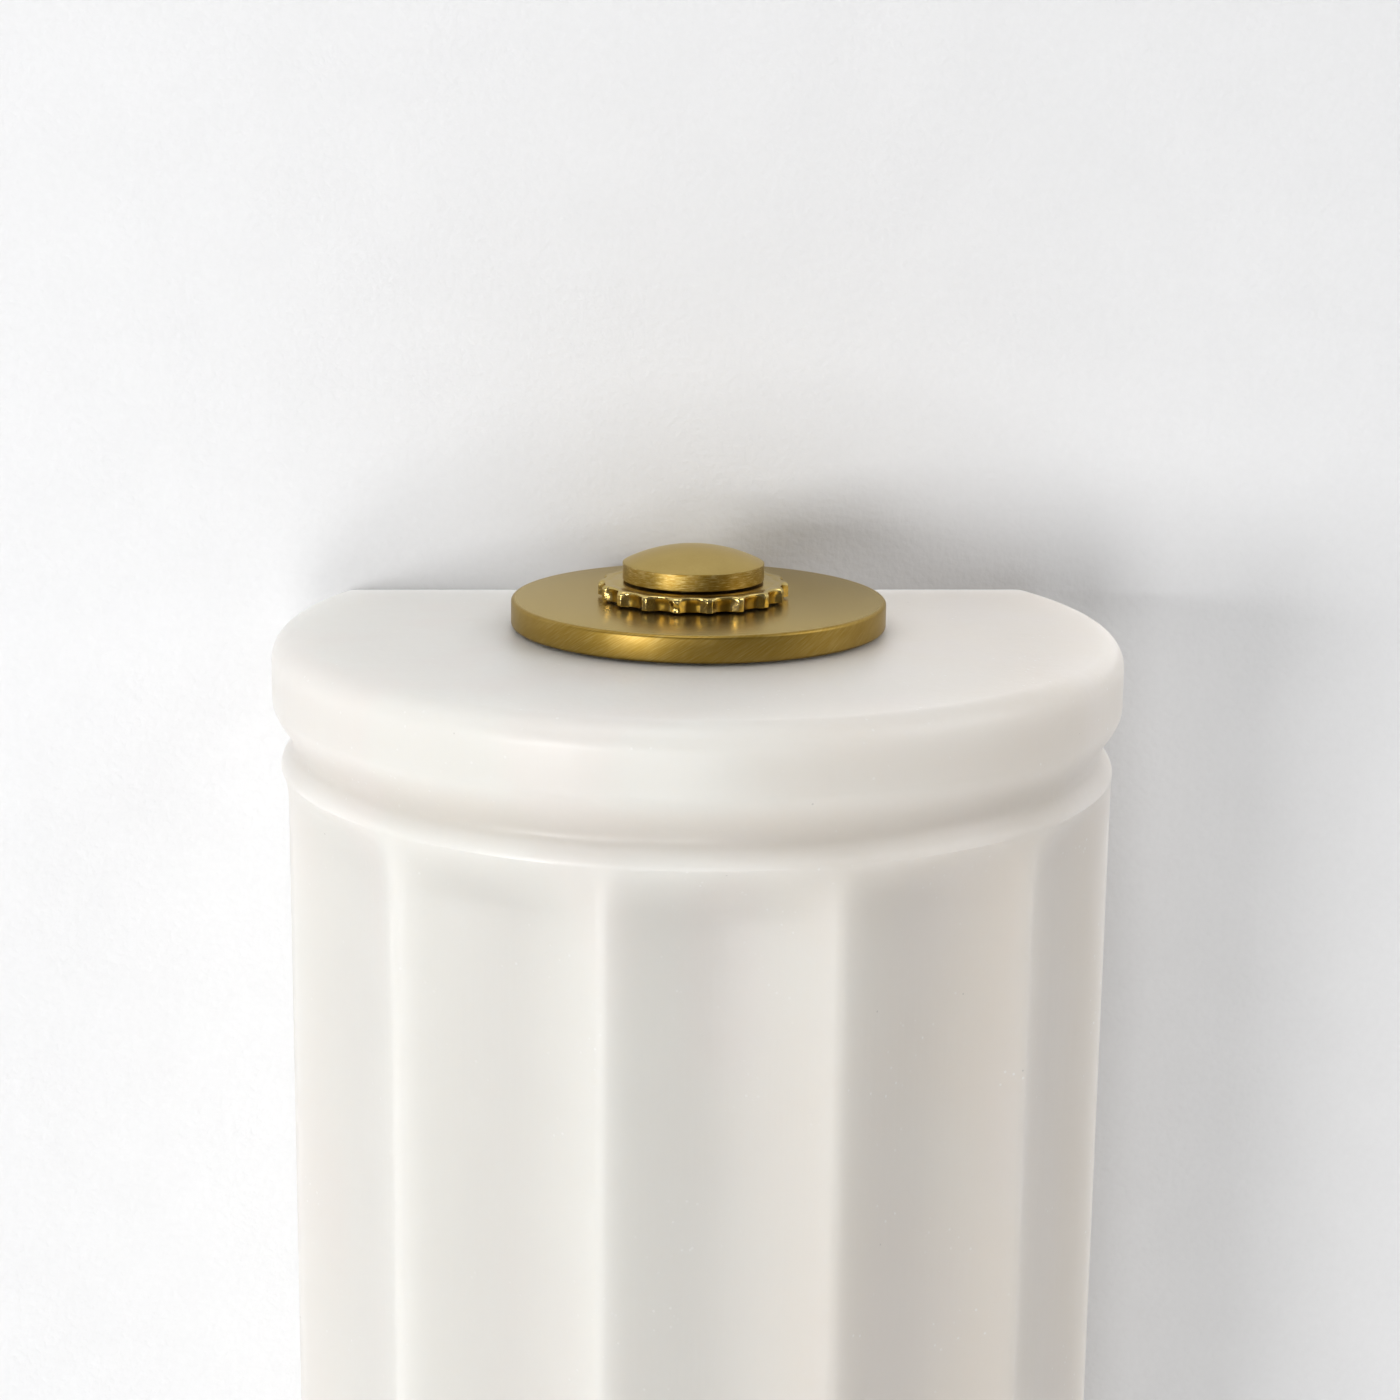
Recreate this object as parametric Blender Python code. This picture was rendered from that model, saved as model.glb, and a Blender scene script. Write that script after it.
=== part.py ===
"""Opal glass wall light with a fluted, flat-backed shade.

The shade hangs on a threaded nipple that stands on a bracket inside it. A brass disc, a
scalloped lock nut and a domed cap close the top. Origin: centre of the mounting strap's
rear face, on the wall. +Z is up, +X is to the right for someone facing the wall, and the
light stands out from the wall towards -Y. All lengths below are in millimetres.
"""
import math

import bmesh
import bpy
from mathutils import Matrix, Vector

MM = 0.001
GAP = 0.3
SHARP_ANGLE = math.radians(35)

# Centre line of the glass and the disc, measured out from the wall.
GLASS_Y = -26.0
# The nipple, lock nut and cap stand a little left of it, in the disc's wide hole.
NIPPLE_X = -0.75
NIPPLE_AXIS = (NIPPLE_X, GLASS_Y, 0.0)
# Line of the lamp holder and bulb.
LAMP_Y = -42.0

# Glass shade: a plain band at each end, a groove inside each band, flutes between.
GLASS_TOP = 100.0
GLASS_BAND_RADIUS = 57.5
GLASS_EDGE_ROUND = 3.5
GLASS_INNER_RADIUS = 48.5
GLASS_PLATE = 4.0
GLASS_HOLE_RADIUS = 6.5
GLASS_BACK_Y = -0.4
GLASS_STEPS = 72
RIDGE_RADIUS = 56.5
FLUTE_COUNT = 12
FLUTE_DEPTH = 4.5
FLUTE_TOP = 82.0
FLUTE_END_LENGTH = 8.0
BAND_EDGE = 91.3
GROOVE_FLOOR = 85.2
GROOVE_DEPTH = 2.6

# Threads: 1/8 pipe nipple at the top, medium screw base on the bulb.
NIPPLE_RADIUS = 5.1
NIPPLE_BORE = 3.4
NIPPLE_BOTTOM = 82.0
NIPPLE_TOP = 108.9
THREAD_CLEAR = NIPPLE_RADIUS + GAP
BUSHING_RADIUS = 6.6
BUSHING_SEAT = BUSHING_RADIUS + GAP

# Brass stack on top of the glass.
DISC_RADIUS = 25.4
DISC_BOTTOM = GLASS_TOP + GAP
DISC_TOP = 104.0
DISC_RECESS_RADIUS = 20.0
DISC_RECESS_TOP = 101.5
DISC_BORE = 6.3
NUT_RIDGE_RADIUS = 12.9
NUT_VALLEY_RADIUS = 11.76
NUT_SCALLOPS = 18
# At rest one hollow of the nut faces just left of the front.
NUT_REST_ANGLE = math.radians(-3.4)
NUT_BOTTOM = DISC_TOP + GAP
NUT_TOP = 106.3
CAP_RADIUS = 9.58
CAP_BOTTOM = NUT_TOP + GAP
CAP_RIM = 109.0
CAP_DOME_RADIUS = 21.0
CAP_TOP = 111.15
CAP_BORE_TOP = 109.3

# Wall plate: a strap on the junction box, and a tray-shaped pan that covers it.
STRAP_LENGTH = 105.0
STRAP_WIDTH = 20.0
STRAP_THICKNESS = 1.6
SLOT_SPACING_HALF = 41.6
SLOT_LENGTH = 12.0
SLOT_WIDTH = 5.0
STUD_Z = 25.0
STUD_RADIUS = 2.0
PAN_WIDTH = 78.0
PAN_HEIGHT = 150.0
PAN_DEPTH = 14.0
PAN_SHEET = 1.2
PAN_CORNER = 8.0
BRACKET_SHEET = 2.0
BRACKET_BACK_Y = -PAN_DEPTH - GAP
RIVET_RADIUS = 1.5
TOP_RIVETS = ((-7.0, 64.0), (7.0, 64.0))
LOWER_RIVETS = ((-8.0, -52.0), (8.0, -52.0))

# Lamp holder and bulb.
HOLDER_BOTTOM = -70.7
HOLDER_FLOOR = -62.0
HOLDER_TOP = -28.0
HOLDER_RADIUS = 19.0
HOLDER_BORE = 14.1
ARM_TOP = HOLDER_BOTTOM - GAP
SHELL_RADIUS = 12.9
SHELL_SHEET = 0.5
BULB_RADIUS = 15.0
BULB_TOP = 48.0
LEAD_RADIUS = 1.2
LEAD_OFFSET = 6.0
GROMMET_Y = -7.0
CONNECTOR_X = 22.0

COLOURS = {
    "antique_brass": ((0.42, 0.30, 0.10), 0.34, 1.0),
    "opal_glass": ((0.86, 0.84, 0.81), 0.28, 0.0),
    "zinc_steel": ((0.55, 0.55, 0.54), 0.38, 1.0),
    "white_paint": ((0.80, 0.80, 0.78), 0.45, 0.0),
    "clear_silicone": ((0.78, 0.78, 0.76), 0.55, 0.0),
    "porcelain": ((0.85, 0.84, 0.80), 0.22, 0.0),
    "plain_brass": ((0.62, 0.47, 0.20), 0.30, 1.0),
    "nickel": ((0.62, 0.60, 0.56), 0.25, 1.0),
    "black_rubber": ((0.03, 0.03, 0.03), 0.70, 0.0),
    "black_glass": ((0.02, 0.02, 0.03), 0.15, 0.0),
    "black_sleeve": ((0.03, 0.03, 0.03), 0.60, 0.0),
    "white_sleeve": ((0.80, 0.79, 0.76), 0.60, 0.0),
    "copper": ((0.72, 0.38, 0.22), 0.30, 1.0),
    "green_paint": ((0.05, 0.30, 0.12), 0.45, 0.0),
    "red_nylon": ((0.55, 0.06, 0.04), 0.50, 0.0),
    "clear_glass": ((0.92, 0.94, 0.94), 0.05, 0.0),
    "phosphor": ((0.90, 0.62, 0.12), 0.60, 0.0),
}


def clear_scene():
    for item in list(bpy.data.objects):
        bpy.data.objects.remove(item, do_unlink=True)


def material(name):
    colour, roughness, metallic = COLOURS[name]
    found = bpy.data.materials.get(name) or bpy.data.materials.new(name)
    found.use_nodes = True
    shader = found.node_tree.nodes["Principled BSDF"]
    shader.inputs["Base Color"].default_value = (*colour, 1.0)
    shader.inputs["Roughness"].default_value = roughness
    shader.inputs["Metallic"].default_value = metallic
    return found


def make_object(name, shape, finish):
    """Turn a bmesh in millimetres into an object in metres."""
    bmesh.ops.scale(shape, vec=(MM, MM, MM), verts=shape.verts)
    bmesh.ops.recalc_face_normals(shape, faces=shape.faces)
    mesh = bpy.data.meshes.new(name)
    shape.to_mesh(mesh)
    shape.free()
    mesh.shade_smooth()
    mesh.set_sharp_from_angle(angle=SHARP_ANGLE)
    made = bpy.data.objects.new(name, mesh)
    bpy.context.scene.collection.objects.link(made)
    if finish:
        mesh.materials.append(material(finish))
    return made


def spun(shape, profile, steps, axis):
    """Spin a closed (radius, height) profile. Along Y, height runs towards -Y."""
    corners = [shape.verts.new((radius, 0.0, height)) for radius, height in profile]
    edges = [shape.edges.new(pair) for pair in zip(corners, corners[1:])]
    on_axis = profile[0][0] == 0.0 and profile[-1][0] == 0.0
    if not on_axis:
        edges.append(shape.edges.new((corners[-1], corners[0])))
    bmesh.ops.spin(shape, geom=corners + edges, cent=(0, 0, 0), axis=(0, 0, 1),
                   angle=math.tau, steps=steps, use_merge=True)
    bmesh.ops.remove_doubles(shape, verts=shape.verts, dist=0.001)
    if axis == "Y":
        turn = Matrix.Rotation(math.radians(90), 4, "X")
        bmesh.ops.transform(shape, matrix=turn, verts=shape.verts)


def turned(name, profile, centre, steps, finish, axis="Z"):
    """A solid of revolution whose origin is at its centre."""
    shape = bmesh.new()
    spun(shape, profile, steps, axis)
    made = make_object(name, shape, finish)
    made.location = Vector(centre) * MM
    return made


def turned_set(name, profile, centres, steps, finish, axis="Z"):
    """The same turned piece at each centre, numbered from 1, all sharing one mesh."""
    first = turned(f"{name}_1", profile, centres[0], steps, finish, axis)
    for number, centre in enumerate(centres[1:], start=2):
        copy = bpy.data.objects.new(f"{name}_{number}", first.data)
        copy.location = Vector(centre) * MM
        bpy.context.scene.collection.objects.link(copy)


def rod(radius, low, high):
    return [(0.0, low), (radius, low), (radius, high), (0.0, high)]


def ring(inner, outer, low, high):
    return [(inner, low), (outer, low), (outer, high), (inner, high)]


def prism(name, outline, start, end, axis, finish):
    """Push a flat outline along Y (outline in X, Z) or along X (outline in Y, Z)."""
    shape = bmesh.new()
    if axis == "Y":
        corners = [shape.verts.new((a, start, b)) for a, b in outline]
        travel = (0.0, end - start, 0.0)
    else:
        corners = [shape.verts.new((start, a, b)) for a, b in outline]
        travel = (end - start, 0.0, 0.0)
    face = shape.faces.new(corners)
    pushed = bmesh.ops.extrude_face_region(shape, geom=[face])
    moved = [item for item in pushed["geom"] if isinstance(item, bmesh.types.BMVert)]
    bmesh.ops.translate(shape, verts=moved, vec=travel)
    return make_object(name, shape, finish)


def rounded_rectangle(width, height, radius, steps, centre_z=0.0):
    points = []
    for corner, (side_x, side_z) in enumerate(((1, 1), (-1, 1), (-1, -1), (1, -1))):
        for step in range(steps + 1):
            angle = math.radians(90) * (corner + step / steps)
            x = side_x * (width / 2 - radius) + radius * math.cos(angle)
            z = side_z * (height / 2 - radius) + radius * math.sin(angle)
            points.append((x, z + centre_z))
    return points


def cut(target, cutter):
    cutter.hide_render = True
    cutter.display_type = "WIRE"
    modifier = target.modifiers.new(cutter.name, "BOOLEAN")
    modifier.operation = "DIFFERENCE"
    modifier.solver = "EXACT"
    modifier.object = cutter


def drill(target, centres, radius, low, high, axis="Z", steps=16):
    for centre in centres:
        name = f"drill_{target.name}_{len(target.modifiers)}"
        cut(target, turned(name, rod(radius, low, high), centre, steps, None, axis))


# ---------------------------------------------------------------- glass shade

def band_and_groove(height):
    """Outer radius of the plain glass at a height, the same above and below the middle."""
    height = abs(height)
    if height >= BAND_EDGE:
        return GLASS_BAND_RADIUS
    if height >= GROOVE_FLOOR:
        along = (BAND_EDGE - height) / (BAND_EDGE - GROOVE_FLOOR)
        return GLASS_BAND_RADIUS - GROOVE_DEPTH * (1 - math.cos(math.pi * along)) / 2
    if height >= FLUTE_TOP:
        along = (GROOVE_FLOOR - height) / (GROOVE_FLOOR - FLUTE_TOP)
        floor = GLASS_BAND_RADIUS - GROOVE_DEPTH
        return floor + (RIDGE_RADIUS - floor) * (1 - math.cos(math.pi * along)) / 2
    return RIDGE_RADIUS


def flute(angle, height):
    """Depth of the flute below the ridges. A flute is centred at angle 0, the front."""
    pitch = math.tau / FLUTE_COUNT
    across = 2 * (angle / pitch - round(angle / pitch))
    along = max(0.0, (abs(height) - (FLUTE_TOP - FLUTE_END_LENGTH)) / FLUTE_END_LENGTH)
    return FLUTE_DEPTH * (1.0 - across ** 2) * max(0.0, 1.0 - along ** 2)


def glass_rings():
    """Radius and height of each ring, from the hole, over the outside, up the inside."""
    edge = [(1 - math.cos(math.radians(a)), math.sin(math.radians(a))) for a in (0, 30, 60, 90)]
    upper = [(GLASS_BAND_RADIUS - GLASS_EDGE_ROUND * (1 - out), GLASS_TOP - GLASS_EDGE_ROUND * down)
             for down, out in edge]
    grooved = [BAND_EDGE, 89.0, 87.2, GROOVE_FLOOR, 83.5]
    fluted = [FLUTE_TOP - FLUTE_END_LENGTH * part for part in (0.0, 0.15, 0.4, 0.7, 1.0)]
    upper += [(None, height) for height in grooved + fluted]
    lower = [(radius, -height) for radius, height in reversed(upper)]
    inside = [(GLASS_INNER_RADIUS, -GLASS_TOP), (GLASS_INNER_RADIUS, GLASS_TOP - GLASS_PLATE),
              (GLASS_HOLE_RADIUS, GLASS_TOP - GLASS_PLATE), (GLASS_HOLE_RADIUS, GLASS_TOP)]
    return upper + lower + inside


def make_glass_shade():
    shape = bmesh.new()
    rings = []
    for radius, height in glass_rings():
        loop = []
        for step in range(GLASS_STEPS):
            angle = math.tau * step / GLASS_STEPS
            reach = band_and_groove(height) - flute(angle, height) if radius is None else radius
            x = reach * math.sin(angle)
            y = GLASS_Y - reach * math.cos(angle)
            loop.append(shape.verts.new((x, y, height)))
        rings.append([shape.edges.new((a, b)) for a, b in zip(loop, loop[1:] + loop[:1])])
    for first, second in zip(rings, rings[1:] + rings[:1]):
        bmesh.ops.bridge_loops(shape, edges=first + second)
    shade = make_object("glass_shade", shape, "opal_glass")
    reach = GLASS_BAND_RADIUS * 2
    square = [(-reach, -reach), (reach, -reach), (reach, reach), (-reach, reach)]
    cut(shade, prism("cut_glass_back", square, GLASS_BACK_Y, reach, "Y", None))


# ---------------------------------------------------------------- brass top

def make_top_disc():
    soft = 0.5
    profile = [
        (DISC_BORE, DISC_RECESS_TOP), (DISC_RECESS_RADIUS, DISC_RECESS_TOP),
        (DISC_RECESS_RADIUS, DISC_BOTTOM), (DISC_RADIUS - soft, DISC_BOTTOM),
        (DISC_RADIUS, DISC_BOTTOM + soft), (DISC_RADIUS, DISC_TOP - soft),
        (DISC_RADIUS - soft, DISC_TOP), (DISC_BORE, DISC_TOP)]
    turned("top_disc", profile, (0, GLASS_Y, 0), 52, "antique_brass")


def scallop_radius(across):
    """Radius round one scallop, across running from -1 to 1 with narrow lands at both ends."""
    hollow = max(0.0, 1.0 - (across / 0.84) ** 2)
    return NUT_RIDGE_RADIUS - (NUT_RIDGE_RADIUS - NUT_VALLEY_RADIUS) * hollow


def make_scalloped_nut():
    """The top edge is chamfered, and lands separate the hollows."""
    chamfer = 0.4
    pitch = math.tau / NUT_SCALLOPS
    shape = bmesh.new()
    rings = []
    for inset, height in ((0.0, NUT_BOTTOM), (0.0, NUT_TOP - chamfer), (chamfer, NUT_TOP),
                          (None, NUT_TOP), (None, NUT_BOTTOM)):
        loop = []
        for scallop in range(NUT_SCALLOPS):
            for across in (-0.84, -0.5, 0.0, 0.5, 0.84):
                angle = NUT_REST_ANGLE + pitch * (scallop + across / 2)
                radius = BUSHING_SEAT if inset is None else scallop_radius(across) - inset
                x = NIPPLE_X + radius * math.sin(angle)
                y = GLASS_Y - radius * math.cos(angle)
                loop.append(shape.verts.new((x, y, height)))
        rings.append([shape.edges.new((a, b)) for a, b in zip(loop, loop[1:] + loop[:1])])
    for first, second in zip(rings, rings[1:] + rings[:1]):
        bmesh.ops.bridge_loops(shape, edges=first + second)
    make_object("scalloped_nut", shape, "antique_brass")


def make_finial_cap():
    chamfer = 0.2
    dome_centre = CAP_TOP - CAP_DOME_RADIUS
    rim_angle = math.asin((CAP_RADIUS - chamfer) / CAP_DOME_RADIUS)
    steps = 5
    dome = []
    for step in range(steps + 1):
        angle = rim_angle * (1 - step / steps)
        radius = CAP_DOME_RADIUS * math.sin(angle) if step < steps else 0.0
        dome.append((radius, dome_centre + CAP_DOME_RADIUS * math.cos(angle)))
    profile = [(0.0, CAP_BORE_TOP), (BUSHING_SEAT, CAP_BORE_TOP), (BUSHING_SEAT, CAP_BOTTOM),
               (CAP_RADIUS, CAP_BOTTOM), (CAP_RADIUS, CAP_RIM - chamfer)] + dome
    turned("finial_cap", profile, NIPPLE_AXIS, 36, "antique_brass")


def make_nipple_stack():
    centre = NIPPLE_AXIS
    bevel = 0.5
    nipple = [
        (NIPPLE_BORE, NIPPLE_BOTTOM), (NIPPLE_RADIUS - bevel, NIPPLE_BOTTOM),
        (NIPPLE_RADIUS, NIPPLE_BOTTOM + bevel), (NIPPLE_RADIUS, NIPPLE_TOP - bevel),
        (NIPPLE_RADIUS - bevel, NIPPLE_TOP), (NIPPLE_BORE, NIPPLE_TOP)]
    turned("threaded_nipple", nipple, centre, 24, "zinc_steel")
    soft_bore = NIPPLE_RADIUS + 0.5
    turned("upper_gasket", ring(DISC_BORE + 0.1, 19.5, DISC_BOTTOM, DISC_RECESS_TOP - GAP),
           (0, GLASS_Y, 0), 32, "clear_silicone")
    turned("lower_gasket", ring(soft_bore, 17.5, 94.8, 95.7), centre, 32, "clear_silicone")
    seat = [(THREAD_CLEAR, 92.5), (9.0, 92.5), (9.0, 93.5), (18.0, 93.5), (18.0, 94.5),
            (THREAD_CLEAR, 94.5)]
    turned("glass_seat", seat, centre, 28, "zinc_steel")
    turned("lock_washer", ring(THREAD_CLEAR, 8.5, 88.9, 89.9), centre, 24, "zinc_steel")
    turned("nut_bushing", ring(THREAD_CLEAR, BUSHING_RADIUS, 104.5, 106.1), centre, 24,
           "plain_brass")
    turned("cap_bushing", ring(THREAD_CLEAR, BUSHING_RADIUS, 106.8, 108.9), centre, 24,
           "plain_brass")
    hex_nut = turned("bracket_hex_nut", rod(8.26, 84.6, 88.6), centre, 6, "zinc_steel")
    drill(hex_nut, [centre], THREAD_CLEAR, 80.0, 95.0, steps=24)


# ---------------------------------------------------------------- wall plate and brackets

def make_strap():
    outline = rounded_rectangle(STRAP_WIDTH, STRAP_LENGTH, 4.0, 3)
    strap = prism("mounting_strap", outline, 0.0, -STRAP_THICKNESS, "Y", "zinc_steel")
    for side in (-1, 1):
        slot = rounded_rectangle(SLOT_WIDTH, SLOT_LENGTH, SLOT_WIDTH / 2 - 0.01, 4,
                                 side * SLOT_SPACING_HALF)
        cut(strap, prism(f"cut_slot_{side + 1}", slot, 2.0, -4.0, "Y", None))
    holes = [(0, 0, z) for z in (-STUD_Z, 12.0, STUD_Z)]
    drill(strap, holes, STUD_RADIUS + GAP, -2.0, 4.0, axis="Y")
    studs = [(0, 0, -STUD_Z), (0, 0, STUD_Z)]
    turned_set("strap_stud", rod(STUD_RADIUS, 0.2, 19.0), studs, 16, "zinc_steel", axis="Y")
    screw = [(0.0, 0.2), (1.9, 0.2), (1.9, 3.8), (3.8, 3.8), (3.8, 6.0), (3.4, 6.4), (0.0, 6.4)]
    turned("ground_screw", screw, (0, 0, 12.0), 16, "green_paint", axis="Y")
    cap_nut = [(0.0, 19.5), (2.3, 19.3), (2.3, 14.3), (4.6, 14.3), (5.0, 14.7), (5.0, 18.5),
               (4.0, 20.4), (2.2, 21.4), (0.0, 21.7)]
    turned_set("pan_cap_nut", cap_nut, studs, 20, "nickel", axis="Y")


def make_pan():
    rim_y = -GAP
    outline = rounded_rectangle(PAN_WIDTH, PAN_HEIGHT, PAN_CORNER, 5)
    pan = prism("back_pan", outline, rim_y, -PAN_DEPTH, "Y", "white_paint")
    hollow = rounded_rectangle(PAN_WIDTH - 2 * PAN_SHEET, PAN_HEIGHT - 2 * PAN_SHEET,
                               PAN_CORNER - PAN_SHEET, 5)
    cut(pan, prism("cut_pan_inside", hollow, 5.0, PAN_SHEET - PAN_DEPTH, "Y", None))
    studs = [(0, 0, -STUD_Z), (0, 0, STUD_Z)]
    drill(pan, studs, STUD_RADIUS + GAP, 5.0, 20.0, axis="Y")
    rivets = [(x, 0, z) for x, z in TOP_RIVETS + LOWER_RIVETS]
    drill(pan, rivets, RIVET_RADIUS + GAP, 5.0, 20.0, axis="Y", steps=10)
    drill(pan, [(0, GROMMET_Y, 0)], 4.3, -80.0, -70.0, steps=20)
    wall_low = -PAN_HEIGHT / 2
    wall_high = wall_low + PAN_SHEET
    grommet = [(3.2, wall_low - 1.8), (5.0, wall_low - 1.8), (5.5, wall_low - 1.3),
               (5.5, wall_low - GAP), (4.0, wall_low - GAP), (4.0, wall_high + GAP),
               (5.5, wall_high + GAP), (5.5, wall_high + 1.3), (5.0, wall_high + 1.8),
               (3.2, wall_high + 1.8)]
    turned("pan_grommet", grommet, (0, GROMMET_Y, 0), 20, "black_rubber")


def bent_arm(name, flange_end, arm_low, arm_high, arm_tip, half_width):
    """An L of sheet: a flange flat on the pan, and an arm that stands out from it."""
    back = BRACKET_BACK_Y
    front = back - BRACKET_SHEET
    outer_z, inner_z = (arm_high, arm_low) if flange_end < arm_low else (arm_low, arm_high)
    bend = 2.0 if outer_z > inner_z else -2.0
    round_y = 2.0
    outline = [(back, flange_end), (back, outer_z - bend), (back - 0.6, outer_z - 0.3 * bend),
               (back - round_y, outer_z), (arm_tip, outer_z), (arm_tip, inner_z),
               (front, inner_z), (front, flange_end)]
    return prism(name, outline, -half_width, half_width, "X", "zinc_steel")


def make_brackets():
    top = bent_arm("top_bracket", 54.0, 90.2, 90.2 + BRACKET_SHEET, -38.0, 12.0)
    drill(top, [NIPPLE_AXIS], THREAD_CLEAR, 85.0, 98.0, steps=24)
    drill(top, [(x, 0, z) for x, z in TOP_RIVETS], RIVET_RADIUS + GAP, 10.0, 20.0, "Y", 12)
    lower = bent_arm("lower_bracket", -45.0, ARM_TOP - BRACKET_SHEET, ARM_TOP, -60.0, 14.0)
    drill(lower, [(0, LAMP_Y, 0)], 8.0, -80.0, -66.0, steps=24)
    drill(lower, [(x, 0, z) for x, z in LOWER_RIVETS], RIVET_RADIUS + GAP, 10.0, 20.0, "Y", 12)
    drill(lower, [(-11.0, LAMP_Y, 0), (11.0, LAMP_Y, 0)], RIVET_RADIUS + GAP, -80.0, -66.0, steps=12)
    rivet = [(0.0, 11.3), (2.2, 11.3), (2.6, 11.7), (2.6, 12.5), (RIVET_RADIUS, 12.5),
             (RIVET_RADIUS, 16.6), (3.0, 16.6), (2.6, 17.6), (1.2, 18.2), (0.0, 18.3)]
    places = [(x, 0, z) for x, z in TOP_RIVETS + LOWER_RIVETS]
    turned_set("bracket_rivet", rivet, places, 14, "zinc_steel", axis="Y")


# ---------------------------------------------------------------- lamp holder and wiring

def make_holder():
    centre = (0, LAMP_Y, 0)
    body = [
        (0.0, HOLDER_BOTTOM), (15.5, HOLDER_BOTTOM), (HOLDER_RADIUS, HOLDER_BOTTOM + 3.5),
        (HOLDER_RADIUS, -38.0), (HOLDER_RADIUS - 1.2, -36.5), (HOLDER_RADIUS - 1.2, HOLDER_TOP + 1.5),
        (HOLDER_RADIUS - 2.7, HOLDER_TOP), (HOLDER_BORE, HOLDER_TOP), (HOLDER_BORE, HOLDER_FLOOR),
        (0.0, HOLDER_FLOOR)]
    holder = turned("lamp_holder", body, centre, 32, "porcelain")
    leads = [(side * LEAD_OFFSET, LAMP_Y, 0) for side in (-1, 1)]
    drill(holder, leads, LEAD_RADIUS + GAP, -75.0, -60.0, steps=12)
    screws = [(-11.0, LAMP_Y, 0), (11.0, LAMP_Y, 0)]
    drill(holder, screws, RIVET_RADIUS + GAP, -75.0, -65.5, steps=12)
    screw = [(0.0, -75.4), (2.2, -75.4), (3.0, -74.6), (3.0, -73.3), (RIVET_RADIUS, -73.3),
             (RIVET_RADIUS, -66.0), (0.0, -66.0)]
    turned_set("holder_screw", screw, screws, 14, "zinc_steel")
    turned("holder_shell", ring(13.2, 13.8, -61.5, -32.0), centre, 24, "plain_brass")
    contact = [(0.0, -61.7), (4.2, -61.7), (4.2, -60.9), (2.2, -60.6), (2.2, -57.6), (1.6, -57.0),
               (0.0, -57.0)]
    turned("holder_contact", contact, centre, 16, "plain_brass")


def smooth_route(points, between):
    """Catmull-Rom curve through hand-placed points."""
    route = [Vector(point) for point in points]
    padded = [2 * route[0] - route[1]] + route + [2 * route[-1] - route[-2]]
    smooth = []
    for a, b, c, d in zip(padded, padded[1:], padded[2:], padded[3:]):
        for step in range(between):
            t = step / between
            smooth.append(0.5 * (2 * b + (c - a) * t + (2 * a - 5 * b + 4 * c - d) * t ** 2
                                 + (3 * b - a - 3 * c + d) * t ** 3))
    return smooth + [route[-1]]


def wire(name, points, radius, finish):
    curve = bpy.data.curves.new(name, "CURVE")
    curve.dimensions = "3D"
    curve.bevel_depth = radius * MM
    curve.bevel_resolution = 2
    curve.use_fill_caps = True
    smooth = smooth_route(points, 2)
    spline = curve.splines.new("POLY")
    spline.points.add(len(smooth) - 1)
    for place, point in zip(spline.points, smooth):
        place.co = (*(point * MM), 1.0)
    made = bpy.data.objects.new(name, curve)
    bpy.context.scene.collection.objects.link(made)
    curve.materials.append(material(finish))


def make_wiring():
    """Two leads drop from the holder, pass back under the pan and up through its grommet."""
    for name, side, finish in (("lead_live", 1, "black_sleeve"), ("lead_neutral", -1, "white_sleeve")):
        route = [(6, -42, -64), (6, -42, -71), (5.9, -41, -78), (5.2, -35.5, -85), (4, -25, -88.5),
                 (2.7, -14.5, -87), (1.8, -8.6, -82), (1.6, -7, -76), (1.6, -7, -68), (5, -7, -59),
                 (13, -7, -52), (20, -7, -46), (CONNECTOR_X, -7, -39), (CONNECTOR_X, -7, -32)]
        wire(name, [(side * x, y, z) for x, y, z in route], LEAD_RADIUS, finish)
    ground = [(3.0, -2.7, 12.0), (2.1, -2.7, 14.1), (0, -2.7, 15.0), (-2.1, -2.7, 14.1),
              (-3.1, -2.7, 11.5), (-5, -2.9, 7), (-11, -4.5, 2), (-18, -6.5, 1.5),
              (-CONNECTOR_X, -7, 6), (-CONNECTOR_X, -7, 12), (-CONNECTOR_X, -7, 19)]
    wire("ground_wire", ground, 0.8, "copper")
    connector = [(0.0, 9.0), (1.8, 9.0), (1.8, 0.0), (4.6, 0.0), (5.3, 1.2), (5.3, 6.0),
                 (3.9, 18.5), (3.0, 19.6), (0.0, 20.0)]
    places = [(CONNECTOR_X, -7, -38), (-CONNECTOR_X, -7, -38), (-CONNECTOR_X, -7, 13)]
    turned_set("wire_connector", connector, places, 16, "red_nylon")


# ---------------------------------------------------------------- bulb

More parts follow.
